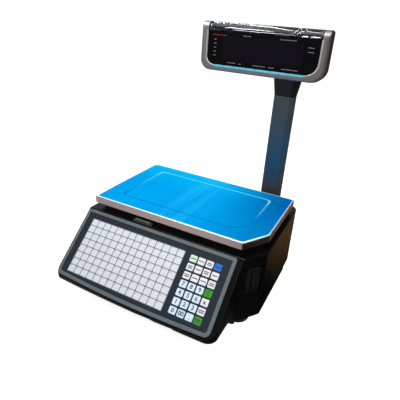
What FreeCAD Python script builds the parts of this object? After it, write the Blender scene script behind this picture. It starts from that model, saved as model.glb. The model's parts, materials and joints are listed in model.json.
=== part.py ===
import FreeCAD, Part
import math
import os
from FreeCAD import Vector

# Counter-top label-printing price scale, in millimetres.
# +X is the operator's right, +Y runs from the operator to the display pole, +Z is up.
# Everything is drawn around the platter's centre, and is moved at the end so that the
# finished part's origin is on the counter, below the middle of the whole footprint.

# --- driving dimensions -------------------------------------------------------------
PLATTER_WIDTH = 380.0
PLATTER_DEPTH = 240.0
PLATTER_TOP = 178.0
PLATTER_SHEET = 1.2
PLATTER_SKIRT = 14.5
PLATTER_CUT = (33.0, 55.0)          # front right corner cut, along X and along Y
PLATEAU_INSET = (44.0, 37.0)        # from the platter's edge to its raised middle
PLATEAU_RISE = 0.6
FILM_THICKNESS = 0.3

BODY_LEFT = -197.5
BODY_RIGHT = 197.0
BODY_BACK = 148.0
BODY_BOTTOM = 6.0
RIM_HEIGHT = 151.0
WALL = 3.5
CONSOLE_RIGHT = 164.0               # right wall of the keyboard console
CHAMFER_FRONT = -131.0              # the corner cut runs from here ...
CHAMFER_BACK = -86.0                # ... to here along Y
CONSOLE_ROUNDING = 4.0              # lower outer edges of the console
BOW_REACH = 0.4                     # share of a bowed side's half that its wide bend takes up
DECK_RISE = 7.0
BACK_STEP = (88.0, 17.0)            # behind this Y the body's lower edge is this high
CONSOLE_UNDERSIDE = 36.0            # height of the console's overhang
OVERHANG_END = -171.0               # the overhang runs back to here, then slopes down ...
OVERHANG_FOOT = -139.0              # ... to the body's bottom here

SLOPE_DEG = 43.6                    # slope of the keyboard console
SLOPE_TOP = (-131.0, 151.0)         # Y and Z of the bezel's upper edge
BEZEL_WIDTH = 349.0
BEZEL_LENGTH = 146.5                # at its sides; its lower edge bows out beyond this
BEZEL_BOW = 4.8
BEZEL_CENTRE_X = -21.1
BEZEL_BORDER = 6.8
BEZEL_THICKNESS = 2.5
OVERLAY_THICKNESS = 1.2
CARD_WIDTH = 227.0
CARD_LENGTH = 118.0
CARD_LEFT = -173.8
CARD_TOP = 18.2                     # down the slope from the bezel's upper edge
CARD_THICKNESS = 0.4

KEY_SIZE = (14.2, 13.0)
KEY_PITCH = (17.1, 16.5)
FIRST_KEY = (73.1, 27.3)            # X, and distance down the slope
KEY_PROUD = 0.6
KEY_TRAVEL = 0.6
KEY_GAP = 0.2

POLE_CENTRE = (123.0, 156.0)
POLE_SECTION = (48.0, 32.0)
POLE_RADIUS = 12.0
POLE_FOOT = 62.0
POLE_TOP = 403.5

DISPLAY_LEFT = -83.5
DISPLAY_RIGHT = 201.0
DISPLAY_BOTTOM = 440.0
DISPLAY_TOP = 546.0
DISPLAY_FRONT = 132.0
DISPLAY_BACK = 178.0
DISPLAY_BROW = 16.0                 # rounding of the head's front and back upper edges
FRAME_DEPTH = 16.0
SHELL_LAP = 1.5                     # the rear shell is this much wider than the frame
GLASS_INSET = 1.0                   # the windows' faces lie this far inside the head's
GLASS_THICKNESS = 3.0
WINDOW_SIDES = (16.0, 14.0)         # left and right borders of the windows
WINDOW_SILL = 13.0

ROLL_CENTRE = (125.0, 35.0)
ROLL_RADIUS = 48.0
LABEL_WIDTH = 60.0
LABEL_BOTTOM = 52.0
WEB_DEPTH = 23.0                    # print line, measured in from the corner's face
PLATEN_RADIUS = 8.0
GEAR_MODULE = 1.25
PLATEN_TEETH = 16
SPOOL_TEETH = 40

RUNNING_CLEARANCE = 0.05
FOOT_RADIUS = 24.0
FOOT_PLACES = {
    "front_left_foot": (-150.0, -108.0),
    "front_right_foot": (156.0, -102.0),
    "rear_left_foot": (-150.0, 66.0),
    "rear_right_foot": (150.0, 66.0),
}

KEY_NAMES = (
    ("key_f1", "key_f2", "key_f3", "key_f4"),
    ("key_f5", "key_f6", "key_f7", "key_f8"),
    ("key_f9", "key_f10", "key_f11", "key_f12"),
    ("key_7", "key_8", "key_9", "key_clear"),
    ("key_4", "key_5", "key_6", "key_times"),
    ("key_1", "key_2", "key_3", "key_lookup"),
    ("key_0", "key_00", "key_point", "key_print"),
)

# --- values worked out from them ----------------------------------------------------
SLOPE = math.radians(SLOPE_DEG)
UNDER_SHEET = PLATTER_TOP - PLATTER_SHEET
DECK_TOP = RIM_HEIGHT + DECK_RISE
CHAMFER_RUN = Vector(BODY_RIGHT - CONSOLE_RIGHT, CHAMFER_BACK - CHAMFER_FRONT, 0)
CHAMFER_ALONG = Vector(CHAMFER_RUN).normalize()
CHAMFER_OUT = Vector(CHAMFER_ALONG.y, -CHAMFER_ALONG.x, 0)
CHAMFER_START = Vector(CONSOLE_RIGHT, CHAMFER_FRONT, 0)
BODY_FRONT = SLOPE_TOP[0] - (BEZEL_LENGTH + BEZEL_BOW) * math.cos(SLOPE) - 1.0


# --- plain helpers ------------------------------------------------------------------
def box(x, y, z):
    """A block from three (low, high) pairs."""
    corner = Vector(x[0], y[0], z[0])
    return Part.makeBox(x[1] - x[0], y[1] - y[0], z[1] - z[0], corner)


def post(radius, z, centre):
    """An upright cylinder between two heights."""
    return Part.makeCylinder(radius, z[1] - z[0], Vector(centre[0], centre[1], z[0]))


def fuse(shapes):
    """One solid from shapes that touch or overlap."""
    return shapes[0].multiFuse(shapes[1:]).removeSplitter()


def outline(corners):
    """A flat face in the XY plane from (x, y, radius) corners, each rounded by its radius."""
    points = [Vector(x, y, 0) for x, y, _ in corners]
    spans = []
    for i, (x, y, radius) in enumerate(corners):
        here, before, after = points[i], points[i - 1], points[(i + 1) % len(points)]
        if radius == 0:
            spans.append((here, here, here))
            continue
        back = (before - here).normalize()
        ahead = (after - here).normalize()
        half = back.getAngle(ahead) / 2
        reach = radius / math.tan(half)
        centre = here + (back + ahead).normalize() * (radius / math.sin(half))
        middle = centre + (here - centre).normalize() * radius
        spans.append((here + back * reach, middle, here + ahead * reach))
    edges = []
    for i, (start, middle, end) in enumerate(spans):
        if start != end:
            edges.append(Part.Arc(start, middle, end).toShape())
        following = spans[(i + 1) % len(spans)][0]
        if (following - end).Length > 1e-6:
            edges.append(Part.makeLine(end, following))
    return Part.Face(Part.Wire(edges))


def prism(corners, z):
    """Upright prism on a rounded outline."""
    face = outline(corners)
    face.translate(Vector(0, 0, z[0]))
    return face.extrude(Vector(0, 0, z[1] - z[0]))


def block(centre, size, radius, z):
    """Upright prism on a rounded rectangle."""
    x, y = size[0] / 2, size[1] / 2
    signs = ((-1, -1), (1, -1), (1, 1), (-1, 1))
    return prism([(centre[0] + i * x, centre[1] + j * y, radius) for i, j in signs], z)


def inset(corners, distance):
    """The same outline with every side moved inwards; the corners run anticlockwise."""
    moved = []
    for i, (x, y, radius) in enumerate(corners):
        here = Vector(x, y, 0)
        before = Vector(*corners[i - 1][:2], 0)
        after = Vector(*corners[(i + 1) % len(corners)][:2], 0)
        a, b = (here - before).normalize(), (after - here).normalize()
        left_a, left_b = Vector(-a.y, a.x, 0), Vector(-b.y, b.x, 0)
        shift = (left_a + left_b) * (distance / (1 + left_a.dot(left_b)))
        moved.append((here.x + shift.x, here.y + shift.y, max(radius - distance, 0)))
    return moved


def side_prism(corners, x):
    """A profile given as (y, z, radius), swept along X between two places."""
    face = outline(corners)
    face.rotate(Vector(0, 0, 0), Vector(1, 1, 1), 120)
    face.translate(Vector(x[0], 0, 0))
    return face.extrude(Vector(x[1] - x[0], 0, 0))


def wall_prism(corners, y):
    """An outline given as (x, z, radius), swept along Y between two places."""
    face = outline(corners)
    face.rotate(Vector(0, 0, 0), Vector(1, 0, 0), 90)
    face.translate(Vector(0, y[0], 0))
    return face.extrude(Vector(0, y[1] - y[0], 0))


def on_slope(shape):
    """Lay a shape on the console: local Y runs up the slope, local Z stands off it."""
    shape.rotate(Vector(0, 0, 0), Vector(1, 0, 0), SLOPE_DEG)
    shape.translate(Vector(0, SLOPE_TOP[0], SLOPE_TOP[1]))
    return shape


def slab(x, down, z):
    """A block in the console's own directions; down is measured from the bezel's upper edge."""
    return box(x, (-down[1], -down[0]), z)


def from_corner(along, depth):
    """A place in plan, by distance along the cut corner's face and depth behind it."""
    return CHAMFER_START + CHAMFER_ALONG * along - CHAMFER_OUT * depth


def corner_box(along, depth, z):
    """A block square to the cut corner."""
    (a, b), (c, d) = along, depth
    points = [from_corner(*place) for place in ((a, c), (b, c), (b, d), (a, d))]
    return prism([(p.x, p.y, 0) for p in points], z)


# --- body ---------------------------------------------------------------------------
def bowed_side(start, end, bow):
    """Two lower corners and the wide bend between them that bows the side out by this much."""
    width = end[0] - start[0]
    peak = bow / (1 - BOW_REACH)
    bend = BOW_REACH * width * (width / 2) / peak
    return [start, ((start[0] + end[0]) / 2, start[1] - peak, bend), end]


def body_plan():
    """The body seen from above, anticlockwise."""
    corner = BODY_FRONT + BEZEL_BOW * math.cos(SLOPE)
    front = bowed_side((BODY_LEFT, corner, 14), (CONSOLE_RIGHT, corner, 20), BEZEL_BOW * math.cos(SLOPE))
    return front + [
        (CONSOLE_RIGHT, CHAMFER_FRONT, 3),
        (BODY_RIGHT, CHAMFER_BACK, 6),
        (BODY_RIGHT, BODY_BACK, 28),
        (BODY_LEFT, BODY_BACK, 14),
    ]


def slope_point(down, off):
    """Y and Z of a point on the console, down the slope and off its bezel plane."""
    y = SLOPE_TOP[0] - down * math.cos(SLOPE) - off * math.sin(SLOPE)
    z = SLOPE_TOP[1] - down * math.sin(SLOPE) + off * math.cos(SLOPE)
    return y, z


def sloped_top(top, skin):
    """Profile points down the console from the rim, this far under its skin."""
    off = -BEZEL_THICKNESS - skin
    brow = slope_point((SLOPE_TOP[1] - top + off * math.cos(SLOPE)) / math.sin(SLOPE), off)
    lip = slope_point(BEZEL_LENGTH + BEZEL_BOW + 8, off)
    return [(brow[0], brow[1], 2), (lip[0], lip[1], 0)]


def outer_profile():
    """The body seen from its right side: rim, sloped console, overhang and underside."""
    brow, lip = sloped_top(RIM_HEIGHT, 0)
    return [
        brow,
        lip,
        (lip[0], CONSOLE_UNDERSIDE, 0),
        (OVERHANG_END, CONSOLE_UNDERSIDE, 20),
        (OVERHANG_FOOT, BODY_BOTTOM, 8),
        (BODY_BACK + 40, BODY_BOTTOM, 0),
        (BODY_BACK + 40, RIM_HEIGHT, 0),
    ]


def inner_profile():
    """The cavity under the rim and the console, open below."""
    brow, lip = sloped_top(RIM_HEIGHT - WALL, WALL)
    return [brow, lip, (lip[0], -20, 0), (BODY_BACK + 40, -20, 0), (BODY_BACK + 40, RIM_HEIGHT - WALL, 0)]


def deck_plan(shrink=0.0):
    """The raised deck under the platter, with the body's cut corner."""
    edge = from_corner(0, 20.4)
    lead = CHAMFER_ALONG.x / CHAMFER_ALONG.y
    front, right = -115.0, 182.0
    cut_x = edge.x + (front - edge.y) * lead
    cut_y = edge.y + (right - edge.x) / lead
    front_corners = [(-170, front, 6), (cut_x, front, 6), (right, cut_y, 6)]
    return inset(front_corners + [(right, 130, 10), (-170, 130, 10)], shrink)


DOOR_Y = (-70.0, 110.5)
DOOR_Z = (26.0, 137.0)
DOOR_GAP = 0.8
DOOR_AXIS = (BODY_RIGHT - WALL / 2, 109.3)
HINGE_PIN = 1.2
OUTLET_ALONG = (13.0, 51.5)
OUTLET_Z = (63.0, 131.0)
OUTLET_DEPTH = 9.0
SCREW_PLACES = ((-184, -118), (-184, 60), (56, -122), (56, 76), (-60, 112), (60, 112))
LOWER_EDGE = 7.5
TRAY_SHEET = 2.0
INLET_PANEL = ((-171.0, -97.0), (30.0, 68.0))
CONNECTORS = ((-78.0, 16.0, 14.0), (-52.0, 30.0, 12.0), (-12.0, 15.0, 7.0), (12.0, 24.0, 9.0))
CONNECTOR_BASE = 40.0
BACK_WALL = (BODY_BACK - 8, BODY_BACK + 8)


def connector_box(place, y, grow):
    """A block over one connector in the back wall, given by its left edge, width and height."""
    x, width, height = place
    return box((x - grow, x + width + grow), y, (CONNECTOR_BASE - grow, CONNECTOR_BASE + height + grow))


def screw_seat(place):
    """Height of the tray's underside at a screw."""
    return LOWER_EDGE if place[1] < BACK_STEP[0] else BACK_STEP[1] + 1.5


def boss_top(place):
    """Where a screw boss ends, inside the skin of the rim or of the raised deck."""
    below_deck = place[0] > -170 and place[1] > -115
    return (DECK_TOP if below_deck else RIM_HEIGHT) - 1


def pole_socket():
    """Upright pocket moulded on the body's back for the foot of the pole."""
    return block(POLE_CENTRE, (POLE_SECTION[0] + 12, POLE_SECTION[1] + 12), 15, (40, RIM_HEIGHT))


def pole_outline(grow, z):
    """The pole's rounded section, grown on every side."""
    size = (POLE_SECTION[0] + 2 * grow, POLE_SECTION[1] + 2 * grow)
    return block(POLE_CENTRE, size, POLE_RADIUS + grow, z)


def console_edges(body):
    """The console's lower outer edges, from the front lip back along its sides."""
    return [e for e in body.Edges
            if all(v.Y < OVERHANG_END - 5 or abs(v.Y - OVERHANG_END) < 14 for v in e.Vertexes)
            and all(v.Z < CONSOLE_UNDERSIDE + 1 for v in e.Vertexes)]


def upper_housing():
    across = (BODY_LEFT - 10, BODY_RIGHT + 10)
    outer = prism(body_plan(), (0, 200)).common(side_prism(outer_profile(), across))
    outer = outer.makeFillet(CONSOLE_ROUNDING, console_edges(outer))
    inner = prism(inset(body_plan(), WALL), (-20, 200)).common(side_prism(inner_profile(), across))
    deck = prism(deck_plan(), (RIM_HEIGHT - 1, DECK_TOP))
    under_deck = prism(deck_plan(WALL), (RIM_HEIGHT - WALL - 1, DECK_TOP - WALL))
    shell = fuse([outer, deck, pole_socket()])
    shell = shell.cut(inner).cut(under_deck)
    bosses = [post(4, (screw_seat(place) + TRAY_SHEET, boss_top(place)), place) for place in SCREW_PLACES]
    shell = fuse([shell] + bosses + [pole_socket()])
    return shell.cut(Part.Compound(housing_openings()))


def housing_openings():
    """Everything that is cut through the upper housing."""
    high = DECK_TOP + 5
    key_field = (BEZEL_CENTRE_X - 158, BEZEL_CENTRE_X + 158)
    door_y = (DOOR_Y[0] - DOOR_GAP, DOOR_Y[1] + 2)
    door_z = (DOOR_Z[0] - DOOR_GAP, DOOR_Z[1] + DOOR_GAP)
    vent_slots = [box((x, x + 3), BACK_WALL, (80, 120)) for x in range(-160, -90, 9)]
    connectors = [connector_box(place, BACK_WALL, 0.5) for place in CONNECTORS]
    inlet_x, inlet_z = INLET_PANEL
    return [
        block((45, 0), (44, 44), 8, (RIM_HEIGHT - 10, high)),
        on_slope(slab(key_field, (13, 135), (-12, -1))),
        box((BODY_RIGHT - 8, BODY_RIGHT + 4), door_y, door_z),
        post(HINGE_PIN + RUNNING_CLEARANCE, (DOOR_Z[0] - 5, DOOR_Z[1] + 5), DOOR_AXIS),
        corner_box(OUTLET_ALONG, (-4, WALL + 2), OUTLET_Z),
        box((BODY_LEFT - 5, BODY_RIGHT + 5), (BACK_STEP[0], BODY_BACK + 40), (0, BACK_STEP[1])),
        pole_outline(0.3, (POLE_FOOT, high)),
        post(8, (30, high), POLE_CENTRE),
        box(inlet_x, BACK_WALL, inlet_z),
        *[post(1.5, (0, 40), place) for place in SCREW_PLACES],
        *vent_slots,
        *connectors,
    ]


def base_tray():
    """Bent steel sheet that closes the body from below, with the load cell's pedestal."""
    step, raised = BACK_STEP[0] - 2, BACK_STEP[1] + 1.5
    low = [(BODY_FRONT, CONSOLE_UNDERSIDE + 1.5), (OVERHANG_END, CONSOLE_UNDERSIDE + 1.5),
           (OVERHANG_FOOT + 1, LOWER_EDGE), (step, LOWER_EDGE), (step, raised), (BODY_BACK, raised)]
    high = [(y - (TRAY_SHEET if y == step else 0), z + TRAY_SHEET) for y, z in low]
    profile = [(y, z, 0) for y, z in low + high[::-1]]
    sheet = side_prism(profile, (BODY_LEFT, BODY_RIGHT)).common(
        prism(inset(body_plan(), WALL + 0.3), (-10, 60)))
    pedestal = box((-66, -34), (-16, 16), (LOWER_EDGE + 1, 100))
    hollow = box((-62, -38), (-20, 20), (LOWER_EDGE + TRAY_SHEET, 94))
    bosses = [post(8, (LOWER_EDGE, 23), place) for place in FOOT_PLACES.values()]
    tray = fuse([sheet, pedestal.cut(hollow)] + bosses)
    holes = [post(4 + RUNNING_CLEARANCE, (0, 30), place) for place in FOOT_PLACES.values()]
    holes += [post(1.7, (0, 30), place) for place in SCREW_PLACES]
    holes += [box((x, x + 40), (y, y + 4), (0, 12)) for x in (-110, 10) for y in range(-60, -20, 10)]
    return tray.cut(Part.Compound(holes))


def housing_screws():
    """Pan-head screws that hold the tray to the housing's bosses."""
    screws = []
    for place in SCREW_PLACES:
        seat = screw_seat(place)
        head = post(3, (seat - 2, seat), place)
        cross = fuse([box((-0.4, 0.4), (-2, 2), (-1, 1)), box((-2, 2), (-0.4, 0.4), (-1, 1))])
        cross.translate(Vector(place[0], place[1], seat - 2))
        screws.append(fuse([head, post(1.45, (seat, seat + 14), place)]).cut(cross))
    return Part.Compound(screws)


def levelling_foot(place):
    """Rubber-faced pad on a threaded stem."""
    pad = post(FOOT_RADIUS, (0, 6), place)
    pad = pad.makeChamfer(1.2, [pad.Edges[0], pad.Edges[2]])
    return fuse([pad, post(4, (5, 22.5), place)])


def level_vial():
    """Spirit level in its holder on the front rim."""
    holder = box((-83, -40), (-126, -117.5), (RIM_HEIGHT, RIM_HEIGHT + 5.5))
    tube = Part.makeCylinder(2.8, 34, Vector(-78.5, -121.7, RIM_HEIGHT + 4.5), Vector(1, 0, 0))
    return fuse([holder, tube])


# --- keyboard -----------------------------------------------------------------------
SHEET_FACE = -BEZEL_THICKNESS + OVERLAY_THICKNESS


def bezel_outline():
    """The bezel's outer edge on the console, with its lower side bowed outwards."""
    left, right = BEZEL_CENTRE_X - BEZEL_WIDTH / 2, BEZEL_CENTRE_X + BEZEL_WIDTH / 2
    lower = bowed_side((left, -BEZEL_LENGTH, 12), (right, -BEZEL_LENGTH, 12), BEZEL_BOW)
    return lower + [(right, 0, 5), (left, 0, 5)]


def keyboard_bezel():
    """Frame around the keyboard, with a rounded outer edge."""
    z = (-BEZEL_THICKNESS, 0)
    ring = prism(bezel_outline(), z)
    hole = prism(inset(bezel_outline(), BEZEL_BORDER), (z[0] - 1, z[1] + 1))
    top_edges = [e for e in ring.Edges if all(abs(v.Z) < 1e-6 for v in e.Vertexes)]
    return on_slope(ring.makeFillet(1.6, top_edges).cut(hole))


def key_centre(column, row):
    return FIRST_KEY[0] + column * KEY_PITCH[0], -(FIRST_KEY[1] + row * KEY_PITCH[1])


def key_block(column, row, grow, radius, z):
    """A rounded block over one key's place, grown on every side."""
    size = (KEY_SIZE[0] + 2 * grow, KEY_SIZE[1] + 2 * grow)
    return block(key_centre(column, row), size, radius, z)


def keypad_overlay():
    """Dark keyboard sheet, pierced for the function keys."""
    sheet = prism(inset(bezel_outline(), BEZEL_BORDER + 0.1), (-BEZEL_THICKNESS, SHEET_FACE))
    holes = [
        key_block(column, row, KEY_GAP, 1.7, (-BEZEL_THICKNESS - 1, 1))
        for row, names in enumerate(KEY_NAMES)
        for column in range(len(names))]
    return on_slope(sheet.cut(Part.Compound(holes)))


def key(column, row):
    """One function key: a cap above the sheet and a flange held below it."""
    flange = key_block(column, row, 0.8, 1.5, (SHEET_FACE - 3.1, -BEZEL_THICKNESS))
    cap = key_block(column, row, 0, 1.5, (-BEZEL_THICKNESS - 0.5, SHEET_FACE + KEY_PROUD))
    rim = [e for e in cap.Edges if all(v.Z > SHEET_FACE for v in e.Vertexes)]
    return on_slope(fuse([flange, cap.makeFillet(0.4, rim)]))


def hotkey_card():
    """Printed card of preset fields that lies on the sheet."""
    centre = (CARD_LEFT + CARD_WIDTH / 2, -CARD_TOP - CARD_LENGTH / 2)
    return on_slope(block(centre, (CARD_WIDTH, CARD_LENGTH), 1, (SHEET_FACE, SHEET_FACE + CARD_THICKNESS)))


def keyboard_board():
    """Contact board behind the keys, with one contact under every function key."""
    face = SHEET_FACE - 3.1 - KEY_TRAVEL - 0.4
    board = slab((BEZEL_CENTRE_X - 156, BEZEL_CENTRE_X + 156), (15, 130), (face - 1.6, face))
    contacts = [
        post(3, (face - 0.5, face + 0.3), key_centre(column, row))
        for row, names in enumerate(KEY_NAMES)
        for column in range(len(names))]
    return on_slope(fuse([board] + contacts))


# --- weighing -----------------------------------------------------------------------
LOAD_CELL_Z = (100.0, 122.0)
POST_X = 45.0
SINK_GAP = 0.8


def load_cell():
    """Single-point beam: an aluminium bar with its binocular-shaped window."""
    bar = box((-65, 65), (-15, 15), LOAD_CELL_Z)
    middle = sum(LOAD_CELL_Z) / 2
    bores = [Part.makeCylinder(7, 40, Vector(x, -20, middle), Vector(0, 1, 0)) for x in (-14, 14)]
    waist = box((-14, 14), (-20, 20), (middle - 3, middle + 3))
    return bar.cut(Part.Compound(bores + [waist]))


def platter_support():
    """Cast spider: a post from the load cell, four arms and four corner pads."""
    foot = box((POST_X - 18, 64), (-14, 14), (LOAD_CELL_Z[1] + SINK_GAP, LOAD_CELL_Z[1] + 8))
    column = block((POST_X, 0), (30, 26), 5, (LOAD_CELL_Z[1] + SINK_GAP, 170))
    hub = block((20, 0), (130, 60), 10, (161, 171))
    pads, arms = [], []
    for x, y in ((-150, -85), (135, -80), (150, 85), (-150, 85)):
        pads.append(post(9, (162, UNDER_SHEET), (x, y)))
        length = math.hypot(x, y)
        arm = box((0, length), (-7, 7), (163, 171))
        arm.rotate(Vector(0, 0, 0), Vector(0, 0, 1), math.degrees(math.atan2(y, x)))
        arms.append(arm)
    return fuse([foot, column, hub] + arms + pads)


def platter_plan():
    """The platter seen from above, anticlockwise, with its cut front right corner."""
    x, y = PLATTER_WIDTH / 2, PLATTER_DEPTH / 2
    cut_x, cut_y = PLATTER_CUT
    return [(-x, -y, 4), (x - cut_x, -y, 5), (x, cut_y - y, 5), (x, y, 5), (-x, y, 10)]


def plateau_plan():
    """The raised middle of the platter."""
    x = PLATTER_WIDTH / 2 - PLATEAU_INSET[0]
    y = PLATTER_DEPTH / 2 - PLATEAU_INSET[1]
    cut_x, cut_y = PLATTER_CUT
    return [(-x, -y, 10), (x - cut_x * 0.8, -y, 30), (x, cut_y * 0.6 - y, 16), (x, y, 10), (-x, y, 10)]


def weighing_platter():
    """Pressed stainless pan: a flat top with a low raised middle and a folded skirt."""
    pan = prism(platter_plan(), (PLATTER_TOP - PLATTER_SKIRT, PLATTER_TOP))
    top_edges = [e for e in pan.Edges if all(abs(v.Z - PLATTER_TOP) < 1e-6 for v in e.Vertexes)]
    pan = pan.makeFillet(1.5, top_edges)
    pocket = prism(inset(platter_plan(), PLATTER_SHEET), (PLATTER_TOP - PLATTER_SKIRT - 1, UNDER_SHEET))
    plateau = prism(plateau_plan(), (UNDER_SHEET + 0.5, PLATTER_TOP + PLATEAU_RISE))
    return fuse([pan.cut(pocket), plateau])


def protective_film():
    """Peel-off film that covers the platter's whole top."""
    cover = prism(inset(platter_plan(), 1.6), (PLATTER_TOP, PLATTER_TOP + PLATEAU_RISE + FILM_THICKNESS))
    ring = prism(inset(platter_plan(), 1.5), (PLATTER_TOP + FILM_THICKNESS, PLATTER_TOP + 5)).cut(
        prism(inset(plateau_plan(), -FILM_THICKNESS), (PLATTER_TOP, PLATTER_TOP + 5)))
    return cover.cut(ring).cut(prism(plateau_plan(), (PLATTER_TOP - 1, PLATTER_TOP + PLATEAU_RISE)))


# --- electronics --------------------------------------------------------------------
SWITCH_PIVOT = (-108.0, BODY_BACK - 3.0, 49.0)
SWITCH_TILT = 7.0


def power_supply():
    """Closed supply box with the mains inlet and the switch's well on the back panel."""
    case = box((-180, -92), (78, 128), (24, 66))
    duct = box((-166, -100), (127, BODY_BACK - 2), (32, 64))
    panel_x, panel_z = [(low + 0.3, high - 0.3) for low, high in INLET_PANEL]
    panel = box(panel_x, (BODY_BACK - 3, BODY_BACK), panel_z)
    socket = box((-161, -134), (BODY_BACK - 16, BODY_BACK + 2), (39, 59))
    well = box((-116, -100), (BODY_BACK - 14, BODY_BACK + 2), (37.5, 60.5))
    pin_places = ((-157, 45), (-148.5, 50), (-140, 45))
    pins = [box((x, x + 2), (BODY_BACK - 17, BODY_BACK - 4), (z, z + 5)) for x, z in pin_places]
    return fuse([fuse([case, duct, panel]).cut(socket).cut(well)] + pins)


def power_switch():
    """Rocker with two flats, standing in its off position."""
    x, y, z = SWITCH_PIVOT
    lower = [(y - 7, z - 6, 1), (y + 1.6, z - 9.5, 0.8), (y + 3.6, z, 0)]
    upper = [(y + 1.6, z + 9.5, 0.8), (y - 7, z + 6, 1)]
    rocker = side_prism(lower + upper, (x - 6.8, x + 6.8))
    rocker.rotate(Vector(x, y, z), Vector(1, 0, 0), SWITCH_TILT)
    return rocker


def main_board():
    """Upright board behind the back wall, carrying its connectors."""
    face = BODY_BACK - WALL - 10
    board = box((-86, 50), (face - 1.6, face), (26, 120))
    connectors = [connector_box(place, (face - 0.5, BODY_BACK - 1), 0) for place in CONNECTORS]
    chips = [
        box((-70, -45), (face - 4, face - 1), (70, 95)),
        box((-20, 5), (face - 5, face - 1), (64, 84)),
        box((20, 32), (face - 9, face - 1), (92, 112)),
    ]
    mouths = [connector_box(place, (BODY_BACK - 7, BODY_BACK), -1.5) for place in CONNECTORS]
    return fuse([board] + connectors + chips).cut(Part.Compound(mouths))


# --- display ------------------------------------------------------------------------
SPIGOT_RADIUS = 10.0
NECK_FOOT = POLE_TOP + 0.5
NECK_TOP_SECTION = (60.0, 40.0)


def display_pole():
    """Rounded tube with a bearing bore for the neck at its top."""
    tube = pole_outline(0, (POLE_FOOT, POLE_TOP)).cut(pole_outline(-2.5, (POLE_FOOT - 1, POLE_TOP - 22)))
    return tube.cut(post(SPIGOT_RADIUS + RUNNING_CLEARANCE, (POLE_FOOT, POLE_TOP + 1), POLE_CENTRE))


def display_neck():
    """Flared neck that carries the display head and turns on the pole."""
    sections = []
    for size, radius, z in ((POLE_SECTION, POLE_RADIUS, NECK_FOOT), (NECK_TOP_SECTION, 15, DISPLAY_BOTTOM)):
        x, y = size[0] / 2, size[1] / 2
        signs = ((-1, -1), (1, -1), (1, 1), (-1, 1))
        face = outline([(POLE_CENTRE[0] + i * x, POLE_CENTRE[1] + j * y, radius) for i, j in signs])
        face.translate(Vector(0, 0, z))
        sections.append(face.OuterWire)
    flare = Part.makeLoft(sections, True)
    spigot = post(SPIGOT_RADIUS, (POLE_TOP - 18, NECK_FOOT + 1), POLE_CENTRE)
    cable_way = post(5, (POLE_TOP - 20, DISPLAY_BOTTOM + 1), POLE_CENTRE)
    return fuse([flare, spigot]).cut(cable_way)


def display_outline(grow=0.0):
    """The head seen from the front: tight upper corners and wide lower ones."""
    corners = [(DISPLAY_LEFT, DISPLAY_BOTTOM, 24), (DISPLAY_RIGHT, DISPLAY_BOTTOM, 29),
               (DISPLAY_RIGHT, DISPLAY_TOP, 6), (DISPLAY_LEFT, DISPLAY_TOP, 6)]
    return inset(corners, -grow)


def window_outline(shrink=0.0):
    """The windows' place in the head's faces; it runs on past the head's top."""
    left, right = DISPLAY_LEFT + WINDOW_SIDES[0], DISPLAY_RIGHT - WINDOW_SIDES[1]
    sill, above = DISPLAY_BOTTOM + WINDOW_SILL, DISPLAY_TOP + 20
    return inset([(left, sill, 19), (right, sill, 28), (right, above, 0), (left, above, 0)], shrink)


def head_profile(depth):
    """The head seen from its side, this far inside its faces, as a prism across its width."""
    front, back, top = DISPLAY_FRONT + depth, DISPLAY_BACK - depth, DISPLAY_TOP - depth
    brow = DISPLAY_BROW - depth
    corners = [(front, 300, 0), (back, 300, 0), (back, top, brow), (front, top, brow)]
    return side_prism(corners, (DISPLAY_LEFT - 10, DISPLAY_RIGHT + 10))


def window_pocket():
    """What both halves of the head leave out so that a window can sit in its face."""
    zone = wall_prism(window_outline(), (DISPLAY_FRONT - 5, DISPLAY_BACK + 5))
    return zone.cut(head_profile(GLASS_INSET + GLASS_THICKNESS + 0.2))


def edges_at_y(solid, y):
    return [e for e in solid.Edges if all(abs(v.Y - y) < 1e-6 for v in e.Vertexes)]


def display_front_frame():
    """Silver front frame, open at the top between its two arms, with a ledge for the window."""
    back = DISPLAY_FRONT + FRAME_DEPTH
    frame = wall_prism(display_outline(), (DISPLAY_FRONT, back))
    frame = frame.makeFillet(5, edges_at_y(frame, DISPLAY_FRONT)).common(head_profile(0))
    frame = frame.cut(window_pocket())
    frame = frame.cut(wall_prism(window_outline(4), (DISPLAY_FRONT - 1, back + 1)))
    return frame.cut(wall_prism(inset(display_outline(), 3), (DISPLAY_FRONT + 9, back + 1)))


def display_rear_shell():
    """Dark rear shell, a little wider than the frame, with the second window's ledge."""
    front = DISPLAY_FRONT + FRAME_DEPTH
    across = (DISPLAY_LEFT - 5, DISPLAY_RIGHT + 5)
    shell = wall_prism(display_outline(SHELL_LAP), (front, DISPLAY_BACK))
    shell = shell.makeFillet(6, edges_at_y(shell, DISPLAY_BACK)).common(head_profile(0))
    lowest = box(across, (front - 1, DISPLAY_BACK + 1), (DISPLAY_BOTTOM - 5, DISPLAY_BOTTOM))
    bridge = box(across, (front, DISPLAY_BACK - FRAME_DEPTH), (DISPLAY_TOP - 20, DISPLAY_TOP + 5))
    shell = shell.cut(lowest).cut(window_pocket().cut(bridge))
    opening = wall_prism(window_outline(4), (DISPLAY_BACK - FRAME_DEPTH, DISPLAY_BACK + 1))
    hollow = wall_prism(inset(display_outline(), 3), (front - 1, DISPLAY_BACK - 9))
    return shell.cut(opening).cut(hollow)


def display_windows():
    """Two equal smoked windows, one in each face of the head, bent over its top edge."""
    middle = (DISPLAY_FRONT + DISPLAY_BACK) / 2
    sheet = head_profile(GLASS_INSET).cut(head_profile(GLASS_INSET + GLASS_THICKNESS))
    front = sheet.common(wall_prism(window_outline(0.2), (DISPLAY_FRONT, DISPLAY_FRONT + FRAME_DEPTH - 0.2)))
    back = front.mirror(Vector(0, middle, 0), Vector(0, 1, 0))
    return Part.Compound([front, back])


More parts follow.
